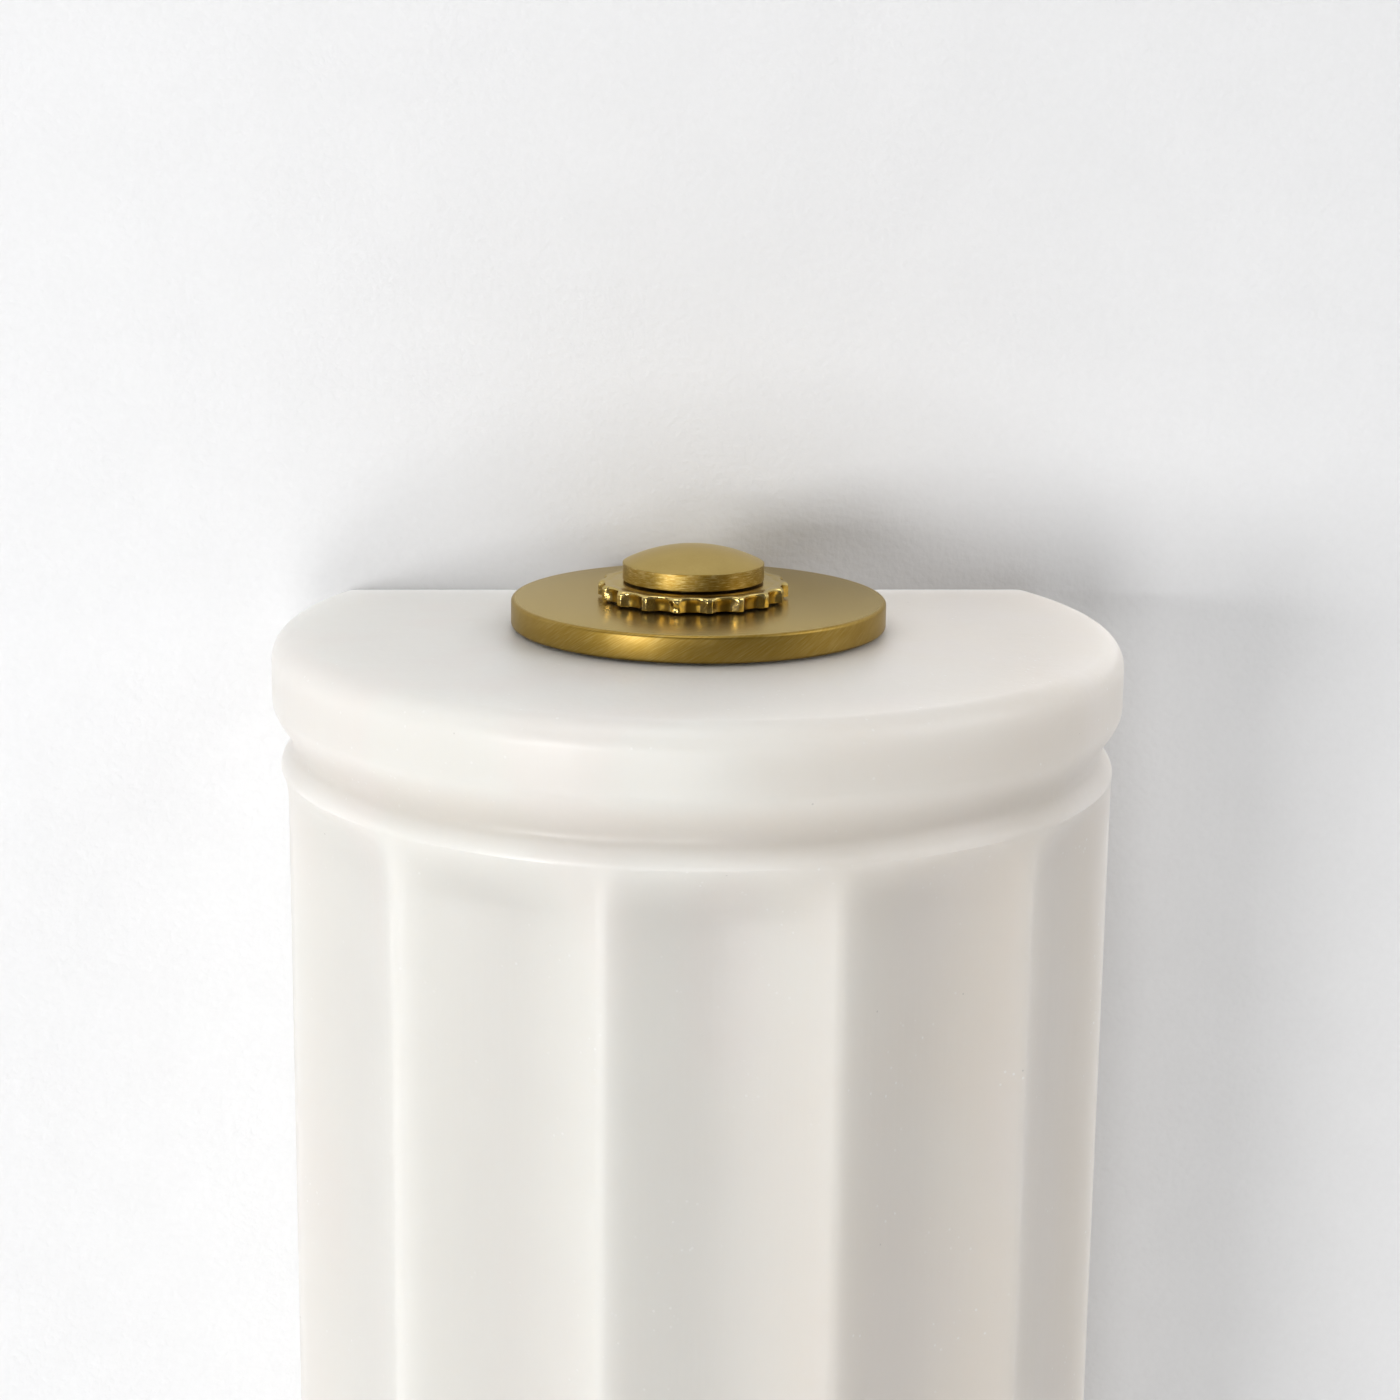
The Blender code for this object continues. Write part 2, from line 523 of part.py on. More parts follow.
def make_bulb():
    centre = (0, LAMP_Y, 0)
    turned("bulb_contact", [(0.0, -56.7), (2.4, -56.6), (3.4, -55.9), (3.4, -55.5), (0.0, -55.5)],
           centre, 16, "nickel")
    turned("bulb_insulator", [(0.0, -55.2), (4.0, -55.2), (11.0, -53.0), (11.0, -52.7), (0.0, -52.7)],
           centre, 24, "black_glass")
    turned("bulb_shell", ring(SHELL_RADIUS - SHELL_SHEET, SHELL_RADIUS, -52.4, -31.0), centre, 24,
           "nickel")
    wall = 1.0
    outside = [(12.0, -37.0), (12.0, -30.0), (13.0, -26.0), (BULB_RADIUS, -20.0),
               (BULB_RADIUS, BULB_TOP - BULB_RADIUS)]
    dome = [math.radians(angle) for angle in (30, 60, 90)]
    shoulder = BULB_TOP - BULB_RADIUS

    def rounded(radius):
        arc = [(radius * math.cos(angle), shoulder + radius * math.sin(angle)) for angle in dome]
        return arc[:-1] + [(0.0, shoulder + radius)]

    inside = [(radius - wall, height) for radius, height in outside]
    profile = list(reversed(rounded(BULB_RADIUS - wall))) + list(reversed(inside))
    profile += outside + rounded(BULB_RADIUS)
    turned("bulb_envelope", profile, centre, 20, "clear_glass")
    stem = [(0.0, -35.0), (9.8, -35.0), (9.8, -34.2), (5.0, -29.0), (2.6, -22.0), (2.6, -8.0),
            (1.4, -7.0), (0.0, -7.0)]
    turned("bulb_stem", stem, centre, 20, "clear_glass")
    spread = 6.0
    places = [(spread * math.cos(angle), LAMP_Y + spread * math.sin(angle), 0)
              for angle in (math.radians(45 + 90 * step) for step in range(4))]
    turned_set("bulb_filament", rod(1.0, -5.0, 31.0), places, 8, "phosphor")


def build():
    clear_scene()
    make_strap()
    make_pan()
    make_brackets()
    make_nipple_stack()
    make_holder()
    make_wiring()
    make_glass_shade()
    make_top_disc()
    make_scalloped_nut()
    make_finial_cap()
    make_bulb()


build()
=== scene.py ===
import math

import bpy
from mathutils import Matrix, Vector, noise


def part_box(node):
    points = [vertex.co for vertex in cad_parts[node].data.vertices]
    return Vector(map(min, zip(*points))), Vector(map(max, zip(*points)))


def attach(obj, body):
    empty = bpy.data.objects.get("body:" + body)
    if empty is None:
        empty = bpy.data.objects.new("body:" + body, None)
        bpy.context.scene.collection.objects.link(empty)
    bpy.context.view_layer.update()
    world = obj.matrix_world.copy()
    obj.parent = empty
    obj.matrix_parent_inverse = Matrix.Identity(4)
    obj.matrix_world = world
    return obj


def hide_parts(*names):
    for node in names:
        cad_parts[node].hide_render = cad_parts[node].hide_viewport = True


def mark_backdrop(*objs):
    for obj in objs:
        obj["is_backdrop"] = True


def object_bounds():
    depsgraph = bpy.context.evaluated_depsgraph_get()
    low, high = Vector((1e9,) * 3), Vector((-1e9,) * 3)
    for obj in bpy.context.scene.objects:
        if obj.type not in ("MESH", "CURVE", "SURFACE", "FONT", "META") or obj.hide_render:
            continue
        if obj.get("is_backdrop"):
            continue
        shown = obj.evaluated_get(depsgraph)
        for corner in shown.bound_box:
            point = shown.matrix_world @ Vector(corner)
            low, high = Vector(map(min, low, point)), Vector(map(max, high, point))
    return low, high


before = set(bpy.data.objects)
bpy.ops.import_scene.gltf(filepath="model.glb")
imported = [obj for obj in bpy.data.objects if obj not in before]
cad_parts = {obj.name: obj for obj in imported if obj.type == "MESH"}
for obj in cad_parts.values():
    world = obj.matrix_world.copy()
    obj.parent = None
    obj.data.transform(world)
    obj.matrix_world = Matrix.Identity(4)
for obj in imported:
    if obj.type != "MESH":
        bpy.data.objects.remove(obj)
cad_low, cad_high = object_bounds()


# ---------------------------------------------------------------- the view
# The light is looked at from the front, a little to the left and a little above its brass top.
# The camera is placed from the centre of the brass disc's top face, in millimetres.

MM = 0.001
disc_low, disc_high = (Vector(corner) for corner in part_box("top_disc"))
disc_top = Vector(((disc_low.x + disc_high.x) / 2, (disc_low.y + disc_high.y) / 2, disc_high.z))
eye_pitch = math.radians(13.22)
eye_yaw = math.radians(3.47)
eye_roll = math.radians(0.67)
eye = bpy.data.cameras.new("eye")
eye.lens = 77.1
eye.sensor_width = 36.0
eye.clip_start = 0.01
eye.clip_end = 50.0
eye_stand = bpy.data.objects.new("eye", eye)
bpy.context.scene.collection.objects.link(eye_stand)
eye_turn = Matrix.Rotation(-eye_yaw, 4, "Z") @ Matrix.Rotation(math.radians(90) - eye_pitch, 4, "X")
eye_turn = eye_turn @ Matrix.Rotation(eye_roll, 4, "Z")
eye_place = disc_top + Vector((-23.8, -398.2, 79.4)) * MM
eye_stand.matrix_world = Matrix.Translation(eye_place) @ eye_turn
bpy.context.scene.camera = eye_stand
bpy.context.scene.view_settings.view_transform = "Standard"


# ---------------------------------------------------------------- wall, floor and studio light
# None of this is part of the light. A painted plaster wall stands behind it and is clear from
# the back. Soft lamps stand mostly to the left, with weaker ones in front, above and behind.

class Value:
    """One socket. Arithmetic on it adds Math nodes."""

    def __init__(self, finish, socket):
        self.finish = finish
        self.socket = socket

    def math(self, operation, *others):
        values = dict(enumerate((self,) + others))
        return self.finish.node("Math", {"operation": operation}, values)

    def __add__(self, other):
        return self.math("ADD", other)

    def __sub__(self, other):
        return self.math("SUBTRACT", other)

    def __mul__(self, other):
        return self.math("MULTIPLY", other)

    def __rsub__(self, other):
        return self * -1 + other

    __radd__ = __add__

    def step(self, low, high):
        """A smooth step from 0 at low to 1 at high. Low may be the larger."""
        values = {"Value": self, "From Min": low, "From Max": high}
        return self.finish.node("MapRange", {"interpolation_type": "SMOOTHSTEP"}, values)


class Finish:
    """A material, with the method that adds any node and the patterns the finishes share."""

    def __init__(self, name, colour, roughness, metallic=0.0, **constants):
        self.material = bpy.data.materials.new(name)
        self.material.use_nodes = True
        self.tree = self.material.node_tree
        self.shader = self.tree.nodes["Principled BSDF"]
        self.shader.inputs["Base Color"].default_value = (*colour, 1.0)
        self.shader.inputs["Roughness"].default_value = roughness
        self.shader.inputs["Metallic"].default_value = metallic
        for socket, value in constants.items():
            self.shader.inputs[socket.replace("_", " ")].default_value = value
        self.here = self.node("TexCoord", output="Object")

    def node(self, kind, settings=None, sockets=None, output=0):
        made = self.tree.nodes.new("ShaderNode" + kind)
        for setting, value in (settings or {}).items():
            setattr(made, setting, value)
        for socket, value in (sockets or {}).items():
            if isinstance(value, Value):
                self.tree.links.new(value.socket, made.inputs[socket])
            elif isinstance(value, tuple) and made.inputs[socket].type == "RGBA":
                made.inputs[socket].default_value = (*value, 1.0)
            else:
                made.inputs[socket].default_value = value
        return Value(self, made.outputs[output])

    def axes(self):
        split = self.node("SeparateXYZ", sockets={0: self.here})
        outputs = split.socket.node.outputs
        return [Value(self, outputs[axis]) for axis in "XYZ"]

    def around(self, centre):
        """Angle from the front, radius and height about an upright axis through a point."""
        x, y, z = self.axes()
        across = x - centre[0]
        forward = centre[1] - y
        radius = (across * across + forward * forward).math("POWER", 0.5)
        return across.math("ARCTAN2", forward), radius, z

    def spot(self, x, y, z):
        return self.node("CombineXYZ", sockets={"X": x, "Y": y, "Z": z})

    def stretched(self, x, y, z):
        """The place on the piece, with each axis drawn out or squeezed."""
        return self.node("Mapping", sockets={"Vector": self.here, "Scale": (x, y, z)})

    def noise(self, size, detail=2.0, at=None, roughness=0.5):
        """Noise between 0 and 1 whose patches are about size metres across."""
        values = {"Vector": at or self.here, "Scale": 1.0 / size, "Detail": detail,
                  "Roughness": roughness}
        return self.node("TexNoise", sockets=values)

    def cells(self, size, at=None):
        """Distance from the nearest of points strewn size metres apart, as a share of size."""
        return self.node("TexVoronoi", sockets={"Vector": at or self.here, "Scale": 1.0 / size})

    def mixed(self, mask, low, high):
        """A colour that is low where mask is 0 and high where it is 1."""
        return self.node("Mix", {"data_type": "RGBA"}, {0: mask, 6: low, 7: high}, output=2)

    def into(self, socket, value):
        self.tree.links.new(value.socket, self.shader.inputs[socket])

    def colour(self, mask, low, high):
        self.into("Base Color", self.mixed(mask, low, high))

    def relief(self, height, depth):
        """Raise the surface by height, as a share of depth in metres."""
        self.into("Normal", self.node("Bump", sockets={"Height": height, "Distance": depth}))

    def on(self, *pieces):
        for piece in pieces:
            piece.data.materials.clear()
            piece.data.materials.append(self.material)


def deselect():
    if bpy.context.object and bpy.context.object.mode != "OBJECT":
        bpy.ops.object.mode_set(mode="OBJECT")
    bpy.ops.object.select_all(action="DESELECT")


def pick(piece):
    """Select one piece alone and make it active."""
    deselect()
    piece.select_set(True)
    bpy.context.view_layer.objects.active = piece


room_width = 6.0
wall_behind = 0.0004
floor_below = 0.62
deselect()
bpy.ops.mesh.primitive_plane_add(size=room_width, location=(0, wall_behind, 0),
                                 rotation=(math.radians(90), 0, 0))
wall = bpy.context.object
wall.name = "studio_wall"
wall.visible_shadow = False
deselect()
bpy.ops.mesh.primitive_plane_add(size=room_width, location=(0, 0, -floor_below))
floor = bpy.context.object
floor.name = "studio_floor"
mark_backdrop(wall, floor)

wall_paint = Finish("wall_paint", (0.80, 0.80, 0.805), 0.75)
fibre = wall_paint.noise(0.0011, 3.0, at=wall_paint.stretched(1.0, 1.0, 0.22))
cloud = wall_paint.noise(0.012, 2.0)
wall_paint.colour(fibre * 0.5 + cloud * 0.5, (0.76, 0.762, 0.772), (0.83, 0.832, 0.842))
wall_paint.relief(fibre, 0.00012)
behind = wall_paint.node("NewGeometry", output="Backfacing")
clear = wall_paint.node("BsdfTransparent")
painted = Value(wall_paint, wall_paint.shader.outputs[0])
seen = wall_paint.node("MixShader", sockets={0: behind, 1: painted, 2: clear})
wall_paint.tree.links.new(seen.socket, wall_paint.tree.nodes["Material Output"].inputs["Surface"])
wall_paint.on(wall)
floor_paint = Finish("floor_paint", (0.80, 0.80, 0.79), 0.6)
floor_paint.relief(floor_paint.noise(0.004, 3.0), 0.0002)
floor_paint.on(floor)


def lamp(name, azimuth, elevation, distance, width, height, power):
    """A soft panel aimed at the brass top. Azimuth 0 is straight in front, and minus is left.

    Angles are in degrees, the distance, width and height in metres, and the power in watts.
    """
    panel = bpy.data.lights.new(name, "AREA")
    panel.shape = "RECTANGLE"
    panel.size = width
    panel.size_y = height
    panel.energy = power
    stand = bpy.data.objects.new(name, panel)
    stand.visible_camera = False
    bpy.context.scene.collection.objects.link(stand)
    side, rise = math.radians(azimuth), math.radians(elevation)
    away = Vector((math.sin(side) * math.cos(rise), -math.cos(side) * math.cos(rise),
                   math.sin(rise)))
    stand.location = disc_top + away * distance
    stand.rotation_mode = "QUATERNION"
    stand.rotation_quaternion = away.to_track_quat("Z", "Y")


lamp("key_panel", -41, -3, 1.3, 0.45, 0.34, 8.8)
lamp("side_strip", -80, -8, 1.3, 0.3, 0.6, 1.1)
lamp("low_front_fill", -9, -13, 1.3, 0.38, 0.38, 3.9)
lamp("right_panel", 84, 2, 1.3, 1.1, 0.9, 2.2)
lamp("top_panel", -28, 68, 1.3, 0.7, 0.7, 4.8)
lamp("high_right_fill", 76, 34, 1.3, 0.9, 0.7, 5.0)
lamp("high_left_fill", -75, 45, 1.3, 0.5, 0.5, 1.3)
lamp("back_panel", 160, 3, 1.2, 1.0, 0.8, 7.0)

room = bpy.data.worlds.new("room")
room.use_nodes = True
room.node_tree.nodes["Background"].inputs["Color"].default_value = (1.0, 1.0, 1.0, 1.0)
room.node_tree.nodes["Background"].inputs["Strength"].default_value = 0.18
bpy.context.scene.world = room


# ---------------------------------------------------------------- mounting strap
# Zinc-plated steel crossbar that two screws hold to the junction box through its long slots.
# It is stamped from sheet, so its upper edges are a little rolled over.

def box_mm(node):
    """Lowest and highest corners of a CAD node, in millimetres."""
    low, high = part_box(node)
    return Vector(low) / MM, Vector(high) / MM


def rounded(corners, steps=5):
    """Turn (across, up, softness) corners into an outline with an arc at each soft one."""
    outline = []
    for number, (across, up, softness) in enumerate(corners):
        here = Vector((across, up))
        if softness == 0:
            outline.append(here)
            continue
        before = (Vector(corners[number - 1][:2]) - here).normalized()
        after = (Vector(corners[(number + 1) % len(corners)][:2]) - here).normalized()
        half = before.angle(after) / 2
        hub = here + (before + after).normalized() * (softness / math.sin(half))
        start = here + before * (softness / math.tan(half)) - hub
        end = here + after * (softness / math.tan(half)) - hub
        for step in range(steps + 1):
            outline.append(hub + start.slerp(end, step / steps).normalized() * softness)
    return outline


def rectangle(width, height, softness, centre=(0.0, 0.0)):
    sides = ((1, 1), (-1, 1), (-1, -1), (1, -1))
    return rounded([(centre[0] + x * width / 2, centre[1] + z * height / 2, softness)
                    for x, z in sides], 8)


def circle(radius, centre, steps=32):
    turns = (math.tau * step / steps for step in range(steps))
    return [Vector((centre[0] + radius * math.cos(turn), centre[1] + radius * math.sin(turn)))
            for turn in turns]


def start_mesh(name, points, edges):
    """A new object of bare edges, in millimetres, open in edit mode with all of it selected."""
    mesh = bpy.data.meshes.new(name)
    mesh.from_pydata([Vector(point) * MM for point in points], edges, [])
    piece = bpy.data.objects.new(name, mesh)
    bpy.context.scene.collection.objects.link(piece)
    pick(piece)
    bpy.ops.object.mode_set(mode="EDIT")
    bpy.ops.mesh.select_all(action="SELECT")
    return piece


def close_mesh():
    """Turn every face outwards and leave edit mode."""
    bpy.ops.mesh.select_all(action="SELECT")
    bpy.ops.mesh.normals_make_consistent(inside=False)
    bpy.ops.object.mode_set(mode="OBJECT")


def bevelled(piece, width, segments=3, angle=35):
    """Soften the piece's edges with a Bevel modifier that is applied."""
    modifier = piece.modifiers.new("soft_edges", "BEVEL")
    modifier.width = width * MM
    modifier.segments = segments
    modifier.limit_method = "ANGLE"
    modifier.angle_limit = math.radians(angle)
    bpy.context.view_layer.objects.active = piece
    bpy.ops.object.modifier_apply(modifier=modifier.name)


def smooth(piece, angle=40):
    pick(piece)
    bpy.ops.object.shade_smooth_by_angle(angle=math.radians(angle))


def slab(name, loops, start, end, along="Y", soften=0.0):
    """Fill flat loops, the first the outline and the rest holes, and push them into a slab."""
    points, edges = [], []
    for loop in loops:
        first = len(points)
        points += [(a, start, b) if along == "Y" else (start, a, b) for a, b in loop]
        edges += [(first + n, first + (n + 1) % len(loop)) for n in range(len(loop))]
    piece = start_mesh(name, points, edges)
    if len(loops) == 1:
        bpy.ops.mesh.edge_face_add()
    else:
        bpy.ops.mesh.fill(use_beauty=True)
    travel = (0, (end - start) * MM, 0) if along == "Y" else ((end - start) * MM, 0, 0)
    bpy.ops.mesh.select_all(action="SELECT")
    bpy.ops.mesh.extrude_region_move(TRANSFORM_OT_translate={"value": travel})
    close_mesh()
    if soften:
        bevelled(piece, soften)
    smooth(piece)
    return piece


strap_low, strap_high = box_mm("mounting_strap")
strap_width = 20.0
strap_corner = 4.0
slot_width, slot_length, slot_height = 5.0, 12.0, 41.6
stud_heights = (-25.0, 25.0)
stud_hole = 2.3
ground_height = 12.0
strap_slots = [rectangle(slot_width, slot_length, slot_width / 2 - 0.01, (0, side * slot_height))
               for side in (-1, 1)]
strap_holes = [circle(stud_hole, (0, height))
               for height in (stud_heights[0], ground_height, stud_heights[1])]
strap = slab("mounting_strap_sheet",
             [rectangle(strap_width, strap_high.z - strap_low.z, strap_corner)]
             + strap_slots + strap_holes, strap_high.y, strap_low.y, soften=0.3)
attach(strap, "wall_frame")
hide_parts("mounting_strap")


def zinc(name, grain_size=0.0007):
    """Bright zinc plate: cloudy spangle, faint rolling lines and a few scuffs."""
    plate = Finish(name, (0.60, 0.60, 0.585), 0.35, metallic=1.0)
    spangle = plate.cells(0.0022).step(0.1, 0.75)
    cloudy = plate.noise(0.006, 3.0)
    rolled = plate.noise(grain_size, 2.0, at=plate.stretched(1.0, 1.0, 0.08))
    scuff = plate.noise(0.0012, 4.0, roughness=0.7).step(0.6, 0.72)
    plate.colour(spangle * 0.35 + cloudy * 0.45 + scuff * 0.2,
                 (0.50, 0.50, 0.485), (0.70, 0.695, 0.67))
    plate.into("Roughness", 0.26 + cloudy * 0.14 + scuff * 0.14)
    plate.relief(rolled * 0.6 + scuff * 0.4, 0.00002)
    return plate


zinc_plate = zinc("zinc_plate")
zinc_plate.on(strap)


# ---------------------------------------------------------------- strap studs
# Zinc-plated machine screws that stand out from the strap and carry the pan. Their thread is
# rolled, and each end has a short lead-in chamfer.

def lathe(name, outline, axis, steps=64, along="Z", angle=40):
    """Spin an outline in millimetres about an axis through a point. Along Y it runs to -Y."""
    points = [(radius, 0.0, height) for radius, height in outline]
    edges = [(number, number + 1) for number in range(len(points) - 1)]
    if outline[0][0] > 0 or outline[-1][0] > 0:
        edges.append((len(points) - 1, 0))
    piece = start_mesh(name, points, edges)
    bpy.ops.mesh.spin(steps=steps, angle=math.tau, center=(0, 0, 0), axis=(0, 0, 1))
    bpy.ops.mesh.select_all(action="SELECT")
    bpy.ops.mesh.remove_doubles(threshold=0.000001)
    close_mesh()
    if along == "Y":
        piece.data.transform(Matrix.Rotation(math.radians(90), 4, "X"))
    piece.data.transform(Matrix.Translation(Vector(axis) * MM))
    smooth(piece, angle)
    return piece


def threaded(name, crest, depth, pitch, low, high, steps, lead_in=0.5):
    """A closed threaded rod about Z, in millimetres, with chamfered ends."""
    root = crest - depth
    ridge = [(crest, 0.0, 0.0), (crest, 0.0, pitch * 0.12), (root, 0.0, pitch * 0.44),
             (root, 0.0, pitch * 0.68), (crest, 0.0, pitch)]
    piece = start_mesh(name, ridge, [(n, n + 1) for n in range(len(ridge) - 1)])
    bpy.ops.object.mode_set(mode="OBJECT")
    turns = math.ceil((high - low) / pitch) + 2
    modifier = piece.modifiers.new("thread", "SCREW")
    modifier.screw_offset = pitch * MM
    modifier.iterations = turns
    modifier.steps = steps
    modifier.render_steps = steps
    modifier.use_merge_vertices = True
    modifier.merge_threshold = 0.0000001
    bpy.ops.object.modifier_apply(modifier=modifier.name)
    piece.data.transform(Matrix.Translation((0, 0, (low - 1.5 * pitch) * MM)))
    bpy.ops.object.mode_set(mode="EDIT")
    for height, side in ((low, -1), (high, 1)):
        bpy.ops.mesh.select_all(action="SELECT")
        bpy.ops.mesh.remove_doubles(threshold=0.000001)
        bpy.ops.mesh.select_all(action="SELECT")
        bpy.ops.mesh.bisect(plane_co=(0, 0, height * MM), plane_no=(0, 0, side), use_fill=True,
                            clear_outer=True, threshold=0.0000001)
    close_mesh()
    for vertex in piece.data.vertices:
        reach = vertex.co.xy.length / MM
        end = min(vertex.co.z / MM - low, high - vertex.co.z / MM)
        limit = crest - lead_in + max(0.0, end)
        if reach > limit:
            vertex.co.xy *= limit / reach
    return piece


def place(piece, axis, along="Z"):
    """Stand a piece made about Z on its own axis. Along Y its height runs to -Y."""
    if along == "Y":
        piece.data.transform(Matrix.Rotation(math.radians(90), 4, "X"))
    piece.data.transform(Matrix.Translation(Vector(axis) * MM))


stud_low, stud_high = box_mm("strap_stud_1")
stud_radius = (stud_high.x - stud_low.x) / 2
stud_thread_depth = 0.42
stud_pitch = 0.7
for number, height in enumerate(stud_heights, start=1):
    stud = threaded(f"machine_stud_{number}", stud_radius, stud_thread_depth, stud_pitch,
                    -stud_high.y, -stud_low.y, steps=24)
    place(stud, (0, 0, height), along="Y")
    smooth(stud, 30)
    zinc_plate.on(stud)
    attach(stud, "wall_frame")
    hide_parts(f"strap_stud_{number}")


# ---------------------------------------------------------------- ground screw
# A green-painted steel screw that clamps the bare ground wire to the strap. Its pan head has a
# cross slot, and the paint has worn off the slot's edges.

def carve(piece, *cutters, operation="DIFFERENCE"):
    """Cut a piece with others, apply the cuts and remove the cutters."""
    for cutter in cutters:
        modifier = piece.modifiers.new("carve", "BOOLEAN")
        modifier.operation = operation
        modifier.solver = "EXACT"
        modifier.object = cutter
        bpy.context.view_layer.objects.active = piece
        bpy.ops.object.modifier_apply(modifier=modifier.name)
        bpy.data.objects.remove(cutter, do_unlink=True)


def bar(size, centre):
    """A cutter: a block in millimetres."""
    deselect()
    bpy.ops.mesh.primitive_cube_add(size=MM, location=(0, 0, 0))
    block = bpy.context.object
    block.data.transform(Matrix.Translation(Vector(centre) * MM) @ Matrix.Diagonal((*size, 1.0)))
    return block


ground_low, ground_high = box_mm("ground_screw")
ground_z = (ground_low.z + ground_high.z) / 2
head_y = -ground_low.y
ground = lathe("green_ground_screw", rounded([
    (0, 0.2, 0), (1.9, 0.2, 0.3), (1.9, 3.8, 0.1), (3.8, 3.8, 0.15), (3.8, head_y, 1.0),
    (0, head_y, 0)]), (0, 0, ground_z), steps=48, along="Y")
slot_long, slot_deep, slot_narrow = 4.6, 2.2, 0.8
for size in ((slot_long, slot_deep, slot_narrow), (slot_narrow, slot_deep, slot_long)):
    carve(ground, bar(size, (0, ground_low.y + 0.2, ground_z)))
smooth(ground)
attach(ground, "wall_frame")
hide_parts("ground_screw")

green = Finish("green_screw_paint", (0.05, 0.30, 0.12), 0.4)
worn = green.noise(0.0009, 4.0, roughness=0.65).step(0.6, 0.68)
green.colour(worn, (0.035, 0.26, 0.10), (0.45, 0.46, 0.43))
green.into("Metallic", worn)
green.into("Roughness", 0.34 + green.noise(0.002, 2.0) * 0.2)
green.relief(green.noise(0.0006, 2.0) - worn * 0.6, 0.00003)
green.on(ground)


# ---------------------------------------------------------------- back pan
# A tray pressed from steel sheet and powder coated white. It covers the junction box, and its
# open side faces the wall. The press leaves a soft bend all round the front.

pan_low, pan_high = box_mm("back_pan")
pan_width = pan_high.x - pan_low.x
pan_height = pan_high.z - pan_low.z
pan_sheet = 1.2
pan_bend = 2.4
pan_corner = 8.0
grommet_y = -7.0
grommet_hole = 4.3
rivet_hole = 1.8
rivet_places = ((-7.0, 64.0), (7.0, 64.0), (-8.0, -52.0), (8.0, -52.0))


def block_hull(name, width, height, corner, back, front, soften):
    """A slab whose front edge is rounded: the outside, or the inside, of a pressed tray."""
    hull = slab(name, [rectangle(width, height, corner)], back, front)
    bpy.ops.object.mode_set(mode="EDIT")
    bpy.ops.mesh.select_mode(type="EDGE")
    bpy.ops.mesh.select_all(action="DESELECT")
    bpy.ops.object.mode_set(mode="OBJECT")
    at_front = [abs(vertex.co.y - front * MM) < 0.00001 for vertex in hull.data.vertices]
    for edge in hull.data.edges:
        edge.select = all(at_front[number] for number in edge.vertices)
    bpy.ops.object.mode_set(mode="EDIT")
    bpy.ops.mesh.bevel(offset=soften * MM, segments=6, affect="EDGES")
    bpy.ops.object.mode_set(mode="OBJECT")
    return hull


pan = block_hull("pressed_pan", pan_width, pan_height, pan_corner, pan_high.y, pan_low.y, pan_bend)
carve(pan, block_hull("pan_hollow", pan_width - 2 * pan_sheet, pan_height - 2 * pan_sheet,
                      pan_corner - pan_sheet, 3.0, pan_low.y + pan_sheet, pan_bend - pan_sheet))
for x, z, radius in ([(0, z, stud_hole) for z in stud_heights]
                     + [(x, z, rivet_hole) for x, z in rivet_places]):
    carve(pan, slab("pan_drill", [circle(radius, (x, z))], -20.0, -8.0))
carve(pan, lathe("grommet_drill", [(0, -80), (grommet_hole, -80), (grommet_hole, -70), (0, -70)],
                 (0, grommet_y, 0), 32))
smooth(pan, 30)
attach(pan, "wall_frame")
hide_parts("back_pan")

powder = Finish("white_powder_coat", (0.78, 0.78, 0.76), 0.42)
orange_peel = powder.noise(0.0011, 2.0)
dust = powder.noise(0.02, 3.0)
fleck = powder.cells(0.007).step(0.03, 0.015)
powder.colour(dust * 0.6 + fleck * 0.4, (0.80, 0.80, 0.78), (0.72, 0.715, 0.69))
powder.into("Roughness", 0.36 + dust * 0.14)
powder.relief(orange_peel, 0.00005)
powder.on(pan)


# ---------------------------------------------------------------- pan cap nuts
# Nickel-plated acorn nuts that draw the pan back against the wall. Their sides are knurled for
# the fingers, and the domed end is polished.

knurl_from = 4.7
knurl_depth = 0.12
knurl_count = 36
nickel = Finish("bright_nickel", (0.66, 0.63, 0.58), 0.2, metallic=1.0)
tarnish = nickel.noise(0.003, 3.0)
hairline = nickel.noise(0.0006, 3.0, roughness=0.7)
nickel.colour(tarnish, (0.60, 0.56, 0.49), (0.74, 0.72, 0.68))
nickel.into("Roughness", 0.12 + tarnish * 0.16 + hairline * 0.08)
nickel.relief(hairline, 0.00001)
for number, height in enumerate(stud_heights, start=1):
    nut_y_low, nut_y_high = (-box_mm(f"pan_cap_nut_{number}")[side].y for side in (1, 0))
    acorn = lathe(f"acorn_nut_{number}", rounded([
        (0.0, nut_y_high - 2.4, 0), (2.3, nut_y_high - 2.4, 0.2), (2.3, nut_y_low, 0.1),
        (4.6, nut_y_low, 0.1), (5.0, nut_y_low + 0.5, 0.3), (5.0, nut_y_low + 4.0, 0.4),
        (4.2, nut_y_low + 4.3, 0.3), (4.0, nut_y_high - 1.4, 1.2), (2.2, nut_y_high - 0.3, 1.5),
        (0.0, nut_y_high, 0)]), (0, 0, height), steps=144, along="Y")
    for vertex in acorn.data.vertices:
        reach = Vector((vertex.co.x, 0, vertex.co.z - height * MM))
        if reach.length > knurl_from * MM:
            turn = math.atan2(reach.z, reach.x)
            cut = knurl_depth * (1 + math.cos(knurl_count * turn)) * MM
            vertex.co -= reach.normalized() * cut
    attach(acorn, "wall_frame")
    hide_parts(f"pan_cap_nut_{number}")
    nickel.on(acorn)


# ---------------------------------------------------------------- pan grommet
# A black rubber ring snapped into the hole in the pan's underside. Both leads pass through it
# and it keeps the sheet's edge off their sleeves.

